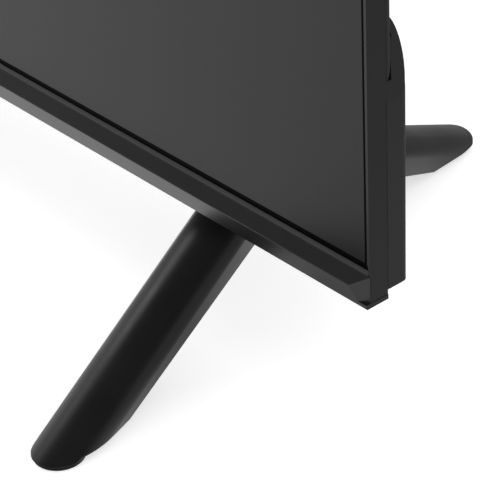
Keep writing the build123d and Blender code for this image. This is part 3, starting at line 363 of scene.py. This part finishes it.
# Satin mouldings of the feet
footLook = {
    "colour": grey(0.0115), "drift": grey(0.0135), "driftSize": 0.03, "rough": (0.31, 0.37), "specular": 0.45,
    "edge": 0.0006, "wear": 0.12, "worn": grey(0.04), "grain": 0.0005, "relief": 0.000005,
}
makeFinish("foot", footLook)
padLook = {
    "colour": grey(0.014), "drift": grey(0.022), "driftSize": 0.004, "rough": (0.62, 0.75), "specular": 0.35,
    "edge": 0.0004, "wear": 0.3, "worn": grey(0.05), "grain": 0.0009, "relief": 0.00022,
}
makeFinish("pad", padLook)
keyLook = {
    "colour": grey(0.012), "drift": grey(0.016), "driftSize": 0.01, "rough": (0.2, 0.3), "edge": 0.0003,
    "wear": 0.3, "worn": grey(0.06), "grain": 0.0006, "relief": 0.000003,
}
makeFinish("key", keyLook)
windowLook = {
    "colour": (0.012, 0.004, 0.004), "drift": (0.016, 0.005, 0.006), "driftSize": 0.01, "rough": (0.06, 0.12),
    "edge": 0.0002, "wear": 0.1, "worn": grey(0.05), "grain": 0.002, "relief": 0.000002, "coat": 0.4,
}
makeFinish("dark_window", windowLook)

# Fasteners and sheet steel
screwLook = {
    "colour": grey(0.09), "drift": grey(0.14), "driftSize": 0.004, "rough": (0.3, 0.42), "metal": 1.0,
    "edge": 0.0002, "wear": 0.7, "worn": grey(0.45), "grain": 0.0004, "relief": 0.00001,
}
makeFinish("screw", screwLook)
bracketLook = {
    "colour": (0.46, 0.47, 0.49), "drift": (0.6, 0.61, 0.62), "driftSize": 0.02, "rough": (0.28, 0.42),
    "metal": 1.0, "edge": 0.0003, "wear": 0.5, "worn": grey(0.75), "grain": 0.012,
    "stretch": (1.0, 30.0, 30.0), "relief": 0.00002,
}
makeFinish("bracket_steel", bracketLook)
bushLook = {
    "colour": (0.62, 0.42, 0.16), "drift": (0.74, 0.53, 0.22), "driftSize": 0.008, "rough": (0.2, 0.34),
    "metal": 1.0, "edge": 0.0002, "wear": 0.4, "worn": (0.85, 0.65, 0.35), "grain": 0.006,
    "stretch": (1.0, 40.0, 1.0), "relief": 0.00003,
}
makeFinish("bush", bushLook)
aluminiumLook = {
    "colour": (0.66, 0.67, 0.69), "drift": (0.75, 0.76, 0.77), "driftSize": 0.03, "rough": (0.26, 0.36),
    "metal": 1.0, "edge": 0.0002, "wear": 0.4, "worn": grey(0.88), "grain": 0.01,
    "stretch": (30.0, 30.0, 1.0), "relief": 0.00002,
}
makeFinish("aluminium", aluminiumLook)
socketMetalLook = {
    "colour": (0.52, 0.51, 0.49), "drift": (0.62, 0.61, 0.58), "driftSize": 0.006, "rough": (0.22, 0.32),
    "metal": 1.0, "edge": 0.0001, "wear": 0.4, "worn": grey(0.8), "grain": 0.004,
    "stretch": (1.0, 25.0, 1.0), "relief": 0.00001,
}
makeFinish("socket_metal", socketMetalLook)

# Mouldings and foam that show only when the set is opened
innerPlasticLook = {
    "colour": grey(0.02), "drift": grey(0.028), "driftSize": 0.05, "rough": (0.45, 0.55), "edge": 0.0004,
    "wear": 0.1, "worn": grey(0.06), "grain": 0.0006, "relief": 0.00002,
}
makeFinish("inner_plastic", innerPlasticLook)
socketPlasticLook = {
    "colour": grey(0.013), "drift": grey(0.017), "driftSize": 0.01, "rough": (0.34, 0.44), "edge": 0.0002,
    "wear": 0.2, "worn": grey(0.06), "grain": 0.0004, "relief": 0.00001,
}
makeFinish("socket_plastic", socketPlasticLook)
componentLook = {
    "colour": grey(0.018), "drift": (0.026, 0.026, 0.03), "driftSize": 0.02, "rough": (0.3, 0.45),
    "edge": 0.0003, "wear": 0.25, "worn": grey(0.12), "grain": 0.0005, "relief": 0.00001,
}
makeFinish("component_black", componentLook)
foamLook = {
    "colour": grey(0.022), "drift": grey(0.034), "driftSize": 0.01, "rough": (0.85, 0.95), "edge": 0.0004,
    "wear": 0.0, "worn": grey(0.05), "grain": 0.0007, "relief": 0.00025, "specular": 0.2,
}
makeFinish("foam", foamLook)

# Sheets, plates and films of the light unit
sheetLook = {
    "colour": (0.78, 0.79, 0.78), "drift": (0.83, 0.84, 0.83), "driftSize": 0.2, "rough": (0.3, 0.4),
    "edge": 0.0001, "wear": 0.1, "worn": grey(0.9), "grain": 0.0012, "stretch": (1.0, 1.0, 60.0),
    "relief": 0.00001,
}
makeFinish("optical_sheet", sheetLook)
filmLook = {
    "colour": (0.4, 0.19, 0.04), "drift": (0.5, 0.25, 0.06), "driftSize": 0.01, "rough": (0.16, 0.26),
    "edge": 0.0001, "wear": 0.1, "worn": (0.6, 0.4, 0.1), "grain": 0.006, "stretch": (30.0, 1.0, 1.0),
    "relief": 0.00002, "coat": 0.3,
}
makeFinish("flexible_film", filmLook)
ledLook = {
    "colour": (0.82, 0.7, 0.2), "drift": (0.88, 0.78, 0.3), "driftSize": 0.003, "rough": (0.12, 0.2),
    "edge": 0.0001, "wear": 0.1, "worn": grey(0.9), "grain": 0.0003, "relief": 0.00001, "coat": 0.6,
}
makeFinish("led", ledLook)


# Acrylic light guide: clear, with the printed dots that throw the light out
guideLook = {
    "colour": (0.84, 0.88, 0.88), "drift": (0.88, 0.91, 0.91), "driftSize": 0.2, "rough": (0.05, 0.12),
    "edge": 0.0002, "wear": 0.2, "worn": grey(0.95), "grain": 0.004, "relief": 0.000002,
    "clear": 0.6, "bend": 1.49, "dots": 500.0, "dotEdge": (0.3, 0.34), "ink": (0.95, 0.96, 0.96),
}


def makeGuideFinish():
    tree, shader, paint, place = makeFinish("light_guide", guideLook)
    look = {"Scale": guideLook["dots"], "Randomness": 0.0}
    dots = newNode(tree, "ShaderNodeTexVoronoi", (-1000, 600), look)
    shader.inputs["Transmission Weight"].default_value = guideLook["clear"]
    shader.inputs["IOR"].default_value = guideLook["bend"]
    inner, outer = guideLook["dotEdge"]
    printed = newNode(tree, "ShaderNodeMapRange", (-800, 600), {"From Min": inner, "From Max": outer})
    mix = newNode(tree, "ShaderNodeMix", (-200, 400), {6: (*guideLook["ink"], 1.0)}, data_type="RGBA")
    tree.links.new(place, dots.inputs["Vector"])
    tree.links.new(dots.outputs["Distance"], printed.inputs["Value"])
    tree.links.new(printed.outputs["Result"], mix.inputs["Factor"])
    tree.links.new(paint.outputs[2], mix.inputs[7])
    tree.links.new(mix.outputs[2], shader.inputs["Base Color"])


makeGuideFinish()


# Circuit board: solder mask over fine copper tracks, with bare pads
boardTracks = {
    "Color1": (0, 0, 0, 1), "Color2": (0, 0, 0, 1), "Mortar": (1, 1, 1, 1), "Scale": 60.0,
    "Mortar Size": 0.02, "Mortar Smooth": 0.2, "Brick Width": 0.9, "Row Height": 0.16,
}
boardPads = {"scale": 150.0, "edge": (0.16, 0.12)}


def makeBoardFinish(slot, look, track, pad):
    tree, shader, paint, place = makeFinish(slot, look)
    tracks = newNode(tree, "ShaderNodeTexBrick", (-1000, 700), boardTracks)
    turn = newNode(tree, "ShaderNodeMapping", (-1250, 700), {"Rotation": (math.radians(90.0), 0.0, 0.0)})
    pads = newNode(tree, "ShaderNodeTexVoronoi", (-1000, 950), {"Scale": boardPads["scale"]})
    outer, inner = boardPads["edge"]
    padMask = newNode(tree, "ShaderNodeMapRange", (-800, 950), {"From Min": outer, "From Max": inner})
    trackMix = newNode(tree, "ShaderNodeMix", (-200, 500), {7: (*track, 1.0)}, data_type="RGBA")
    padMix = newNode(tree, "ShaderNodeMix", (0, 500), {7: (*pad, 1.0)}, data_type="RGBA")
    tree.links.new(place, turn.inputs["Vector"])
    tree.links.new(turn.outputs["Vector"], tracks.inputs["Vector"])
    tree.links.new(place, pads.inputs["Vector"])
    tree.links.new(pads.outputs["Distance"], padMask.inputs["Value"])
    tree.links.new(tracks.outputs["Color"], trackMix.inputs["Factor"])
    tree.links.new(paint.outputs[2], trackMix.inputs[6])
    tree.links.new(trackMix.outputs[2], padMix.inputs[6])
    tree.links.new(padMask.outputs["Result"], padMix.inputs["Factor"])
    tree.links.new(padMix.outputs[2], shader.inputs["Base Color"])


boardLook = {
    "colour": (0.012, 0.1, 0.04), "drift": (0.016, 0.12, 0.05), "driftSize": 0.03, "rough": (0.22, 0.32),
    "edge": 0.0002, "wear": 0.3, "worn": (0.4, 0.38, 0.2), "grain": 0.001, "relief": 0.00001, "coat": 0.3,
}
makeBoardFinish("circuit_board", boardLook, (0.03, 0.2, 0.08), (0.6, 0.58, 0.5))
laminateLook = {
    "colour": (0.42, 0.3, 0.12), "drift": (0.48, 0.35, 0.15), "driftSize": 0.02, "rough": (0.4, 0.5),
    "edge": 0.0002, "wear": 0.3, "worn": (0.6, 0.5, 0.3), "grain": 0.001, "relief": 0.00001,
}
makeBoardFinish("power_laminate", laminateLook, (0.34, 0.22, 0.08), (0.62, 0.6, 0.56))


# Screen: semi-matt polariser, with the unlit border a deeper black than the picture area
screenLook = {
    "colour": grey(0.001), "drift": grey(0.0016), "driftSize": 0.3, "rough": (0.42, 0.46), "specular": 0.02,
    "edge": 0.0001, "wear": 0.0, "worn": grey(0.05), "grain": 0.00012, "relief": 0.0000006, "dust": 0.0,
    "border": grey(0.0012), "sideBorder": 0.0026, "bottomBorder": 0.0086, "topBorder": 0.0026,
    "shine": 0.7, "shineRough": 0.26,
}


def makeScreenFinish():
    tree, shader, paint, place = makeFinish("screen_glass", screenLook)
    shader.inputs["Coat Roughness"].default_value = screenLook["shineRough"]
    low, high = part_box("lcd_panel")
    split = newNode(tree, "ShaderNodeSeparateXYZ", (-1000, 800))
    across = newNode(tree, "ShaderNodeMath", (-800, 900), operation="ABSOLUTE")
    inSide = newNode(
        tree, "ShaderNodeMath", (-600, 900), {1: high.x - screenLook["sideBorder"]}, operation="LESS_THAN"
    )
    aboveLow = newNode(
        tree, "ShaderNodeMath", (-600, 700), {1: low.z + screenLook["bottomBorder"]}, operation="GREATER_THAN"
    )
    belowTop = newNode(
        tree, "ShaderNodeMath", (-600, 500), {1: high.z - screenLook["topBorder"]}, operation="LESS_THAN"
    )
    upright = newNode(tree, "ShaderNodeMath", (-400, 600), operation="MULTIPLY")
    picture = newNode(tree, "ShaderNodeMath", (-200, 700), operation="MULTIPLY")
    mix = newNode(tree, "ShaderNodeMix", (0, 500), {6: (*screenLook["border"], 1.0)}, data_type="RGBA")
    tree.links.new(place, split.inputs[0])
    tree.links.new(split.outputs["X"], across.inputs[0])
    tree.links.new(across.outputs[0], inSide.inputs[0])
    tree.links.new(split.outputs["Z"], aboveLow.inputs[0])
    tree.links.new(split.outputs["Z"], belowTop.inputs[0])
    tree.links.new(aboveLow.outputs[0], upright.inputs[0])
    tree.links.new(belowTop.outputs[0], upright.inputs[1])
    tree.links.new(upright.outputs[0], picture.inputs[0])
    tree.links.new(inSide.outputs[0], picture.inputs[1])
    tree.links.new(picture.outputs[0], mix.inputs["Factor"])
    shine = newNode(tree, "ShaderNodeMath", (0, 900), {1: screenLook["shine"]}, operation="MULTIPLY")
    tree.links.new(paint.outputs[2], mix.inputs[7])
    tree.links.new(mix.outputs[2], shader.inputs["Base Color"])
    tree.links.new(picture.outputs[0], shine.inputs[0])
    tree.links.new(shine.outputs[0], shader.inputs["Coat Weight"])


makeScreenFinish()

for name, item in nodes.items():
    finish = finishes[slotOf[name]]
    if not item.material_slots:
        item.data.materials.append(finish)
    for materialSlot in item.material_slots:
        materialSlot.material = finish
print("finishes made:", len(finishes))


# Small helpers for modelling by hand
nearZero = 1e-5  # metres within which a point counts as on a level
facing = 0.9  # least part of a normal along an axis for a face that looks that way
smoothAngle = 35.0


def clearSelection():
    bpy.ops.object.select_all(action="DESELECT")


def editPiece(piece):
    clearSelection()
    bpy.context.view_layer.objects.active = piece
    piece.select_set(True)
    bpy.ops.object.mode_set(mode="EDIT")
    bpy.ops.mesh.select_mode(type="FACE")


def leaveEdit():
    bpy.ops.object.mode_set(mode="OBJECT")


def pickFaces(piece, test):
    bpy.ops.mesh.select_mode(type="FACE")
    bpy.ops.mesh.select_all(action="DESELECT")
    mesh = bmesh.from_edit_mesh(piece.data)
    for face in mesh.faces:
        if test(face):
            face.select_set(True)
    bmesh.update_edit_mesh(piece.data)


def pickEdges(piece, test):
    bpy.ops.mesh.select_mode(type="EDGE")
    bpy.ops.mesh.select_all(action="DESELECT")
    mesh = bmesh.from_edit_mesh(piece.data)
    for edge in mesh.edges:
        if test(edge):
            edge.select_set(True)
    bmesh.update_edit_mesh(piece.data)


def copyPiece(piece, placing):
    twin = piece.copy()
    twin.data = piece.data.copy()
    bpy.context.collection.objects.link(twin)
    twin.matrix_world = placing
    return twin


# Joins copies into one piece whose place is in its mesh, and gives it its finish and its body
def finishPiece(pieces, name, slot, body="set", replaced=()):
    clearSelection()
    for piece in pieces:
        piece.select_set(True)
    bpy.context.view_layer.objects.active = pieces[0]
    if len(pieces) > 1:
        bpy.ops.object.join()
    whole = bpy.context.view_layer.objects.active
    bpy.ops.object.transform_apply(location=True, rotation=True, scale=True)
    bpy.ops.object.shade_smooth_by_angle(angle=math.radians(smoothAngle))
    whole.name = name
    whole.data.name = name
    whole.data.materials.clear()
    whole.data.materials.append(finishes[slot])
    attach(whole, body)
    if replaced:
        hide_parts(*replaced)
    print("piece", name, "faces", len(whole.data.polygons))
    return whole


# The boxes of the separate solids in a CAD node, read from a merged copy of its mesh
def looseBoxes(nodeName):
    clearSelection()
    copied = nodes[nodeName].copy()
    copied.data = nodes[nodeName].data.copy()
    bpy.context.collection.objects.link(copied)
    editPiece(copied)
    bpy.ops.mesh.select_all(action="SELECT")
    bpy.ops.mesh.remove_doubles(threshold=nearZero)
    bpy.ops.mesh.separate(type="LOOSE")
    leaveEdit()
    boxes = []
    for part in list(bpy.context.selected_objects):
        points = [vertex.co.copy() for vertex in part.data.vertices]
        low = Vector([min(point[axis] for point in points) for axis in range(3)])
        high = Vector([max(point[axis] for point in points) for axis in range(3)])
        boxes.append((low, high))
        bpy.data.objects.remove(part)
    return sorted(boxes, key=lambda box: tuple(box[0]))


# A pan head screw with a cross recess, modelled with its head upwards and its seat at the origin
def makeScrew(look):
    clearSelection()
    top = look["headHeight"]
    bpy.ops.mesh.primitive_cylinder_add(
        vertices=36, radius=look["headRadius"], depth=top, location=(0, 0, top / 2)
    )
    screw = bpy.context.object
    bpy.ops.object.transform_apply(location=True)
    editPiece(screw)
    pickFaces(screw, lambda face: face.normal.z < -facing)
    bpy.ops.mesh.inset(thickness=look["headRadius"] - look["shankRadius"])
    bpy.ops.mesh.extrude_region_move(TRANSFORM_OT_translate={"value": (0, 0, -look["shankLength"])})
    bpy.ops.mesh.inset(thickness=look["shankRadius"] * look["pointShare"])
    bpy.ops.mesh.extrude_region_move(TRANSFORM_OT_translate={"value": (0, 0, -look["point"])})
    pickEdges(screw, lambda edge: all(abs(vertex.co.z - top) < nearZero for vertex in edge.verts))
    bpy.ops.mesh.bevel(offset=look["rim"], segments=4, affect="EDGES")
    leaveEdit()
    for quarter in range(2):
        clearSelection()
        bpy.ops.mesh.primitive_cube_add(size=1.0, location=(0, 0, top))
        driver = bpy.context.object
        driver.scale = (look["recessLength"], look["recessWidth"], 2 * look["recessDepth"])
        driver.rotation_euler = (0, 0, math.radians(90.0 * quarter))
        bpy.ops.object.transform_apply(location=True, rotation=True, scale=True)
        editPiece(driver)
        pickFaces(driver, lambda face: face.normal.z < -facing)
        bpy.ops.transform.resize(value=(look["recessTaper"], look["recessTaper"], 1.0))
        leaveEdit()
        clearSelection()
        bpy.context.view_layer.objects.active = screw
        screw.select_set(True)
        bpy.ops.object.modifier_add(type="BOOLEAN")
        cut = screw.modifiers[-1]
        cut.operation = "DIFFERENCE"
        cut.solver = "EXACT"
        cut.object = driver
        bpy.ops.object.modifier_apply(modifier=cut.name)
        bpy.data.objects.remove(driver)
    return screw


def placeScrews(look, nodeName, pieceName, turn, seatOf):
    screw = makeScrew(look)
    copies = [
        copyPiece(screw, Matrix.Translation(seatOf(low, high)) @ turn)
        for low, high in looseBoxes(nodeName)
    ]
    bpy.data.objects.remove(screw)
    finishPiece(copies, pieceName, "screw", replaced=(nodeName,))


rearScrew = {
    "headRadius": 0.0036, "headHeight": 0.0024, "shankRadius": 0.0017, "shankLength": 0.0046, "point": 0.0004,
    "pointShare": 0.35, "rim": 0.0007, "recessLength": 0.0042, "recessWidth": 0.0009,
    "recessDepth": 0.0014, "recessTaper": 0.55,
}
faceBack = Matrix.Rotation(math.radians(-90.0), 4, "X")
placeScrews(
    rearScrew, "rear_screws", "rearScrewSet", faceBack,
    lambda low, high: Vector(((low.x + high.x) / 2, high.y - rearScrew["headHeight"], (low.z + high.z) / 2)),
)
footScrew = {
    "headRadius": 0.0045, "headHeight": 0.0026, "shankRadius": 0.0025, "shankLength": 0.0150, "point": 0.0004,
    "pointShare": 0.35, "rim": 0.0008, "recessLength": 0.0054, "recessWidth": 0.0011,
    "recessDepth": 0.0017, "recessTaper": 0.55,
}
faceDown = Matrix.Rotation(math.radians(180.0), 4, "X")
placeScrews(
    footScrew, "foot_screws", "footScrewSet", faceDown,
    lambda low, high: Vector(((low.x + high.x) / 2, (low.y + high.y) / 2, low.z + footScrew["headHeight"])),
)

# Rubber pads: round, with a groove in the side and a shallow hollow underneath
padShape = {
    "rim": 0.0004, "rimReach": 0.0001, "groove": 0.0009, "grooveWidth": 0.0004, "grooveDepth": 0.0002,
    "hollowInset": 0.003, "hollowDepth": 0.0003,
}


def makePad(radius, height):
    clearSelection()
    bpy.ops.mesh.primitive_cylinder_add(vertices=72, radius=radius, depth=height, location=(0, 0, height / 2))
    pad = bpy.context.object
    bpy.ops.object.transform_apply(location=True)
    editPiece(pad)
    level, width = padShape["groove"], padShape["grooveWidth"]
    for edgeLevel in (level, level + width):
        bpy.ops.mesh.select_all(action="SELECT")
        bpy.ops.mesh.bisect(plane_co=(0, 0, edgeLevel), plane_no=(0, 0, 1))
    middle = level + width / 2
    pickFaces(
        pad,
        lambda face: abs(face.normal.z) < 1 - facing
        and abs(face.calc_center_median().z - middle) < width / 2,
    )
    bpy.ops.mesh.extrude_region_shrink_fatten(TRANSFORM_OT_shrink_fatten={"value": -padShape["grooveDepth"]})
    pickFaces(pad, lambda face: face.normal.z < -facing and face.calc_center_median().z < nearZero)
    bpy.ops.mesh.inset(thickness=padShape["hollowInset"])
    bpy.ops.mesh.extrude_region_move(TRANSFORM_OT_translate={"value": (0, 0, padShape["hollowDepth"])})
    inside = radius - padShape["rimReach"]
    pickEdges(
        pad,
        lambda edge: all(abs(v.co.z) < nearZero and v.co.xy.length > inside for v in edge.verts),
    )
    bpy.ops.mesh.bevel(offset=padShape["rim"], segments=3, affect="EDGES")
    leaveEdit()
    return pad


for nodeName, pieceName in (("foot_pads_right", "rightPads"), ("foot_pads_left", "leftPads")):
    boxes = looseBoxes(nodeName)
    firstLow, firstHigh = boxes[0]
    pad = makePad((firstHigh.x - firstLow.x) / 2, firstHigh.z - firstLow.z)
    copies = [
        copyPiece(pad, Matrix.Translation(((low.x + high.x) / 2, (low.y + high.y) / 2, low.z)))
        for low, high in boxes
    ]
    bpy.data.objects.remove(pad)
    finishPiece(copies, pieceName, "pad", replaced=(nodeName,))

# Floor: white and plain to the camera. In reflections it glows at the left and in front, less behind
# the set, and hardly at all at the right. The depths of depthGlow are shares of the depth range.
floorLook = {
    "half": 12.0, "colour": 0.9, "glow": 0.6, "mirrorColour": 0.4,
    "mirrorGlow": (1.08, 0.11), "mirrorEdge": (0.43, 0.49),
    "frontGlow": (1.14, 0.52), "frontEdge": (-0.2, 0.75), "frontDepth": (-0.05, -0.11),
    "depth": (-0.3, 0.4), "depthFull": 2.0,
    "depthGlow": ((0.36, 1.0), (0.5, 1.05), (0.54, 1.05), (0.63, 0.25)),
}


def layFloor():
    clearSelection()
    bpy.ops.mesh.primitive_plane_add(size=2 * floorLook["half"], location=(0, 0, 0))
    floor = bpy.context.object
    floor.name = "studioFloor"
    paint = bpy.data.materials.new("floorPaint")
    paint.use_nodes = True
    tree = paint.node_tree
    tree.nodes.clear()
    output = newNode(tree, "ShaderNodeOutputMaterial", (600, 0))
    path = newNode(tree, "ShaderNodeLightPath", (-1000, 300))
    place = newNode(tree, "ShaderNodeTexCoord", (-1000, -200)).outputs["Object"]
    split = newNode(tree, "ShaderNodeSeparateXYZ", (-800, -200))
    (nearGlow, farGlow), (nearEdge, farEdge) = floorLook["mirrorGlow"], floorLook["mirrorEdge"]
    spread = newNode(
        tree, "ShaderNodeMapRange", (-600, -200),
        {"From Min": nearEdge, "From Max": farEdge, "To Min": nearGlow, "To Max": farGlow},
        interpolation_type="SMOOTHSTEP",
    )
    (leftGlow, rightGlow), (leftEdge, rightEdge) = floorLook["frontGlow"], floorLook["frontEdge"]
    ahead = newNode(
        tree, "ShaderNodeMapRange", (-1200, -500),
        {"From Min": leftEdge, "From Max": rightEdge, "To Min": leftGlow, "To Max": rightGlow},
    )
    nearLine, farLine = floorLook["frontDepth"]
    inFront = newNode(tree, "ShaderNodeMapRange", (-1000, -400), {"From Min": nearLine, "From Max": farLine})
    joined = newNode(tree, "ShaderNodeMix", (-800, -500), data_type="FLOAT")
    low, high = floorLook["depth"]
    deep = newNode(tree, "ShaderNodeMapRange", (-1200, -800), {"From Min": low, "From Max": high})
    curve = newNode(tree, "ShaderNodeFloatCurve", (-1000, -800))
    points = curve.mapping.curves[0].points
    full = floorLook["depthFull"]
    levels = [(stop, level / full) for stop, level in floorLook["depthGlow"]]
    for stop, level in levels:
        points.new(stop, level)
    points[0].location = (0.0, levels[0][1])
    points[len(points) - 1].location = (1.0, levels[-1][1])
    curve.mapping.update()
    depthGlow = newNode(tree, "ShaderNodeMath", (-700, -800), {1: full}, operation="MULTIPLY")
    deepened = newNode(tree, "ShaderNodeMath", (-500, -500), operation="MULTIPLY")
    mirrored = newNode(tree, "ShaderNodeMath", (-400, -200), operation="MULTIPLY")
    seen = newNode(tree, "ShaderNodeMath", (-600, 100), operation="MAXIMUM")
    glowSeen = newNode(tree, "ShaderNodeMath", (-400, 0), {1: floorLook["glow"]}, operation="MULTIPLY")
    strength = newNode(tree, "ShaderNodeMath", (-200, -100), operation="ADD")
    colour = newNode(
        tree, "ShaderNodeMix", (-400, 300),
        {6: (*grey(floorLook["colour"]), 1.0), 7: (*grey(floorLook["mirrorColour"]), 1.0)}, data_type="RGBA",
    )
    matt = newNode(tree, "ShaderNodeBsdfDiffuse", (0, 200))
    glow = newNode(tree, "ShaderNodeEmission", (0, -100))
    both = newNode(tree, "ShaderNodeAddShader", (300, 0))
    tree.links.new(place, split.inputs[0])
    tree.links.new(split.outputs["X"], ahead.inputs["Value"])
    tree.links.new(split.outputs["X"], spread.inputs["Value"])
    tree.links.new(split.outputs["Y"], inFront.inputs["Value"])
    tree.links.new(inFront.outputs["Result"], joined.inputs[0])
    tree.links.new(spread.outputs["Result"], joined.inputs[2])
    tree.links.new(ahead.outputs["Result"], joined.inputs[3])
    tree.links.new(split.outputs["Y"], deep.inputs["Value"])
    tree.links.new(deep.outputs["Result"], curve.inputs["Value"])
    tree.links.new(curve.outputs["Value"], depthGlow.inputs[0])
    tree.links.new(joined.outputs[0], deepened.inputs[0])
    tree.links.new(depthGlow.outputs[0], deepened.inputs[1])
    tree.links.new(deepened.outputs[0], mirrored.inputs[0])
    tree.links.new(path.outputs["Is Glossy Ray"], mirrored.inputs[1])
    tree.links.new(path.outputs["Is Camera Ray"], seen.inputs[0])
    tree.links.new(path.outputs["Is Transmission Ray"], seen.inputs[1])
    tree.links.new(seen.outputs[0], glowSeen.inputs[0])
    tree.links.new(glowSeen.outputs[0], strength.inputs[0])
    tree.links.new(mirrored.outputs[0], strength.inputs[1])
    tree.links.new(strength.outputs[0], glow.inputs["Strength"])
    tree.links.new(path.outputs["Is Glossy Ray"], colour.inputs["Factor"])
    tree.links.new(colour.outputs[2], matt.inputs["Color"])
    tree.links.new(matt.outputs[0], both.inputs[0])
    tree.links.new(glow.outputs[0], both.inputs[1])
    tree.links.new(both.outputs[0], output.inputs[0])
    floor.data.materials.append(paint)


layFloor()

# Studio: plain white all round. Reflections show a bright low band under a dark ceiling, which fades
# towards the rear, and a strip of light at the far left.
studio = {
    "fill": 0.95,
    "band": ((0.0, 0.5), (0.18, 0.6), (0.4, 0.03)),
    "rearFade": {"from": 0.3, "to": 0.7, "near": 1.1, "far": 0.45},
    "leftStrip": {"from": -0.84, "to": -0.93, "top": 0.6, "bottom": 0.45, "glow": 1.35},
    "softbox": {"place": (-2.2, -0.25, 2.3), "aim": (0.45, -0.05, 0.05), "size": 0.9, "power": 10.0},
}


def lightStudio():
    world = bpy.data.worlds.new("studioWorld")
    bpy.context.scene.world = world
    world.use_nodes = True
    tree = world.node_tree
    tree.nodes.clear()
    output = newNode(tree, "ShaderNodeOutputWorld", (600, 0))
    path = newNode(tree, "ShaderNodeLightPath", (-600, 300))
    seen = newNode(tree, "ShaderNodeMath", (-400, 300), operation="MAXIMUM")
    plain = newNode(tree, "ShaderNodeMix", (-200, 200), data_type="FLOAT")
    plain.inputs[2].default_value = studio["fill"]
    plain.inputs[3].default_value = 1.0
    place = newNode(tree, "ShaderNodeTexCoord", (-800, -200))
    split = newNode(tree, "ShaderNodeSeparateXYZ", (-600, -200))
    ramp = newNode(tree, "ShaderNodeValToRGB", (-400, -200))
    stops = ramp.color_ramp.elements
    stops.new(0.5)
    for stop, (height, level) in zip(stops, studio["band"]):
        stop.position = height
        stop.color = (*grey(level), 1.0)
    fill = newNode(tree, "ShaderNodeBackground", (0, 100))
    room = newNode(tree, "ShaderNodeBackground", (0, -100))
    mix = newNode(tree, "ShaderNodeMixShader", (300, 0))
    tree.links.new(path.outputs["Is Camera Ray"], seen.inputs[0])
    tree.links.new(path.outputs["Is Transmission Ray"], seen.inputs[1])
    tree.links.new(seen.outputs[0], plain.inputs[0])
    tree.links.new(plain.outputs[0], fill.inputs["Strength"])
    tree.links.new(place.outputs["Generated"], split.inputs[0])
    tree.links.new(split.outputs["Z"], ramp.inputs[0])
    tree.links.new(ramp.outputs[0], room.inputs["Color"])
    fade = studio["rearFade"]
    rear = newNode(
        tree, "ShaderNodeMapRange", (-400, -500),
        {"From Min": fade["from"], "From Max": fade["to"], "To Min": fade["near"], "To Max": fade["far"]},
    )
    strip = studio["leftStrip"]
    left = newNode(
        tree, "ShaderNodeMapRange", (-400, -800),
        {"From Min": strip["from"], "From Max": strip["to"], "To Max": strip["glow"]},
    )
    low = newNode(
        tree, "ShaderNodeMapRange", (-400, -1100), {"From Min": strip["top"], "From Max": strip["bottom"]}
    )
    stripGlow = newNode(tree, "ShaderNodeMath", (-200, -900), operation="MULTIPLY")
    stripLight = newNode(tree, "ShaderNodeBackground", (0, -400))
    bothLights = newNode(tree, "ShaderNodeAddShader", (150, -200))
    tree.links.new(split.outputs["Y"], rear.inputs["Value"])
    tree.links.new(rear.outputs["Result"], room.inputs["Strength"])
    tree.links.new(split.outputs["X"], left.inputs["Value"])
    tree.links.new(split.outputs["Z"], low.inputs["Value"])
    tree.links.new(left.outputs["Result"], stripGlow.inputs[0])
    tree.links.new(low.outputs["Result"], stripGlow.inputs[1])
    tree.links.new(stripGlow.outputs[0], stripLight.inputs["Strength"])
    tree.links.new(room.outputs[0], bothLights.inputs[0])
    tree.links.new(stripLight.outputs[0], bothLights.inputs[1])
    tree.links.new(path.outputs["Is Glossy Ray"], mix.inputs[0])
    tree.links.new(fill.outputs[0], mix.inputs[1])
    tree.links.new(bothLights.outputs[0], mix.inputs[2])
    tree.links.new(mix.outputs[0], output.inputs[0])
    box = studio["softbox"]
    bpy.ops.object.light_add(type="AREA", location=box["place"])
    lamp = bpy.context.object
    lamp.name = "softboxLeft"
    lamp.data.shape = "SQUARE"
    lamp.data.size = box["size"]
    lamp.data.energy = box["power"]
    aim = Vector(box["aim"]) - Vector(box["place"])
    lamp.rotation_euler = aim.to_track_quat("-Z", "Y").to_euler()


lightStudio()
bpy.context.scene.view_settings.view_transform = "Standard"
print("studio lit")
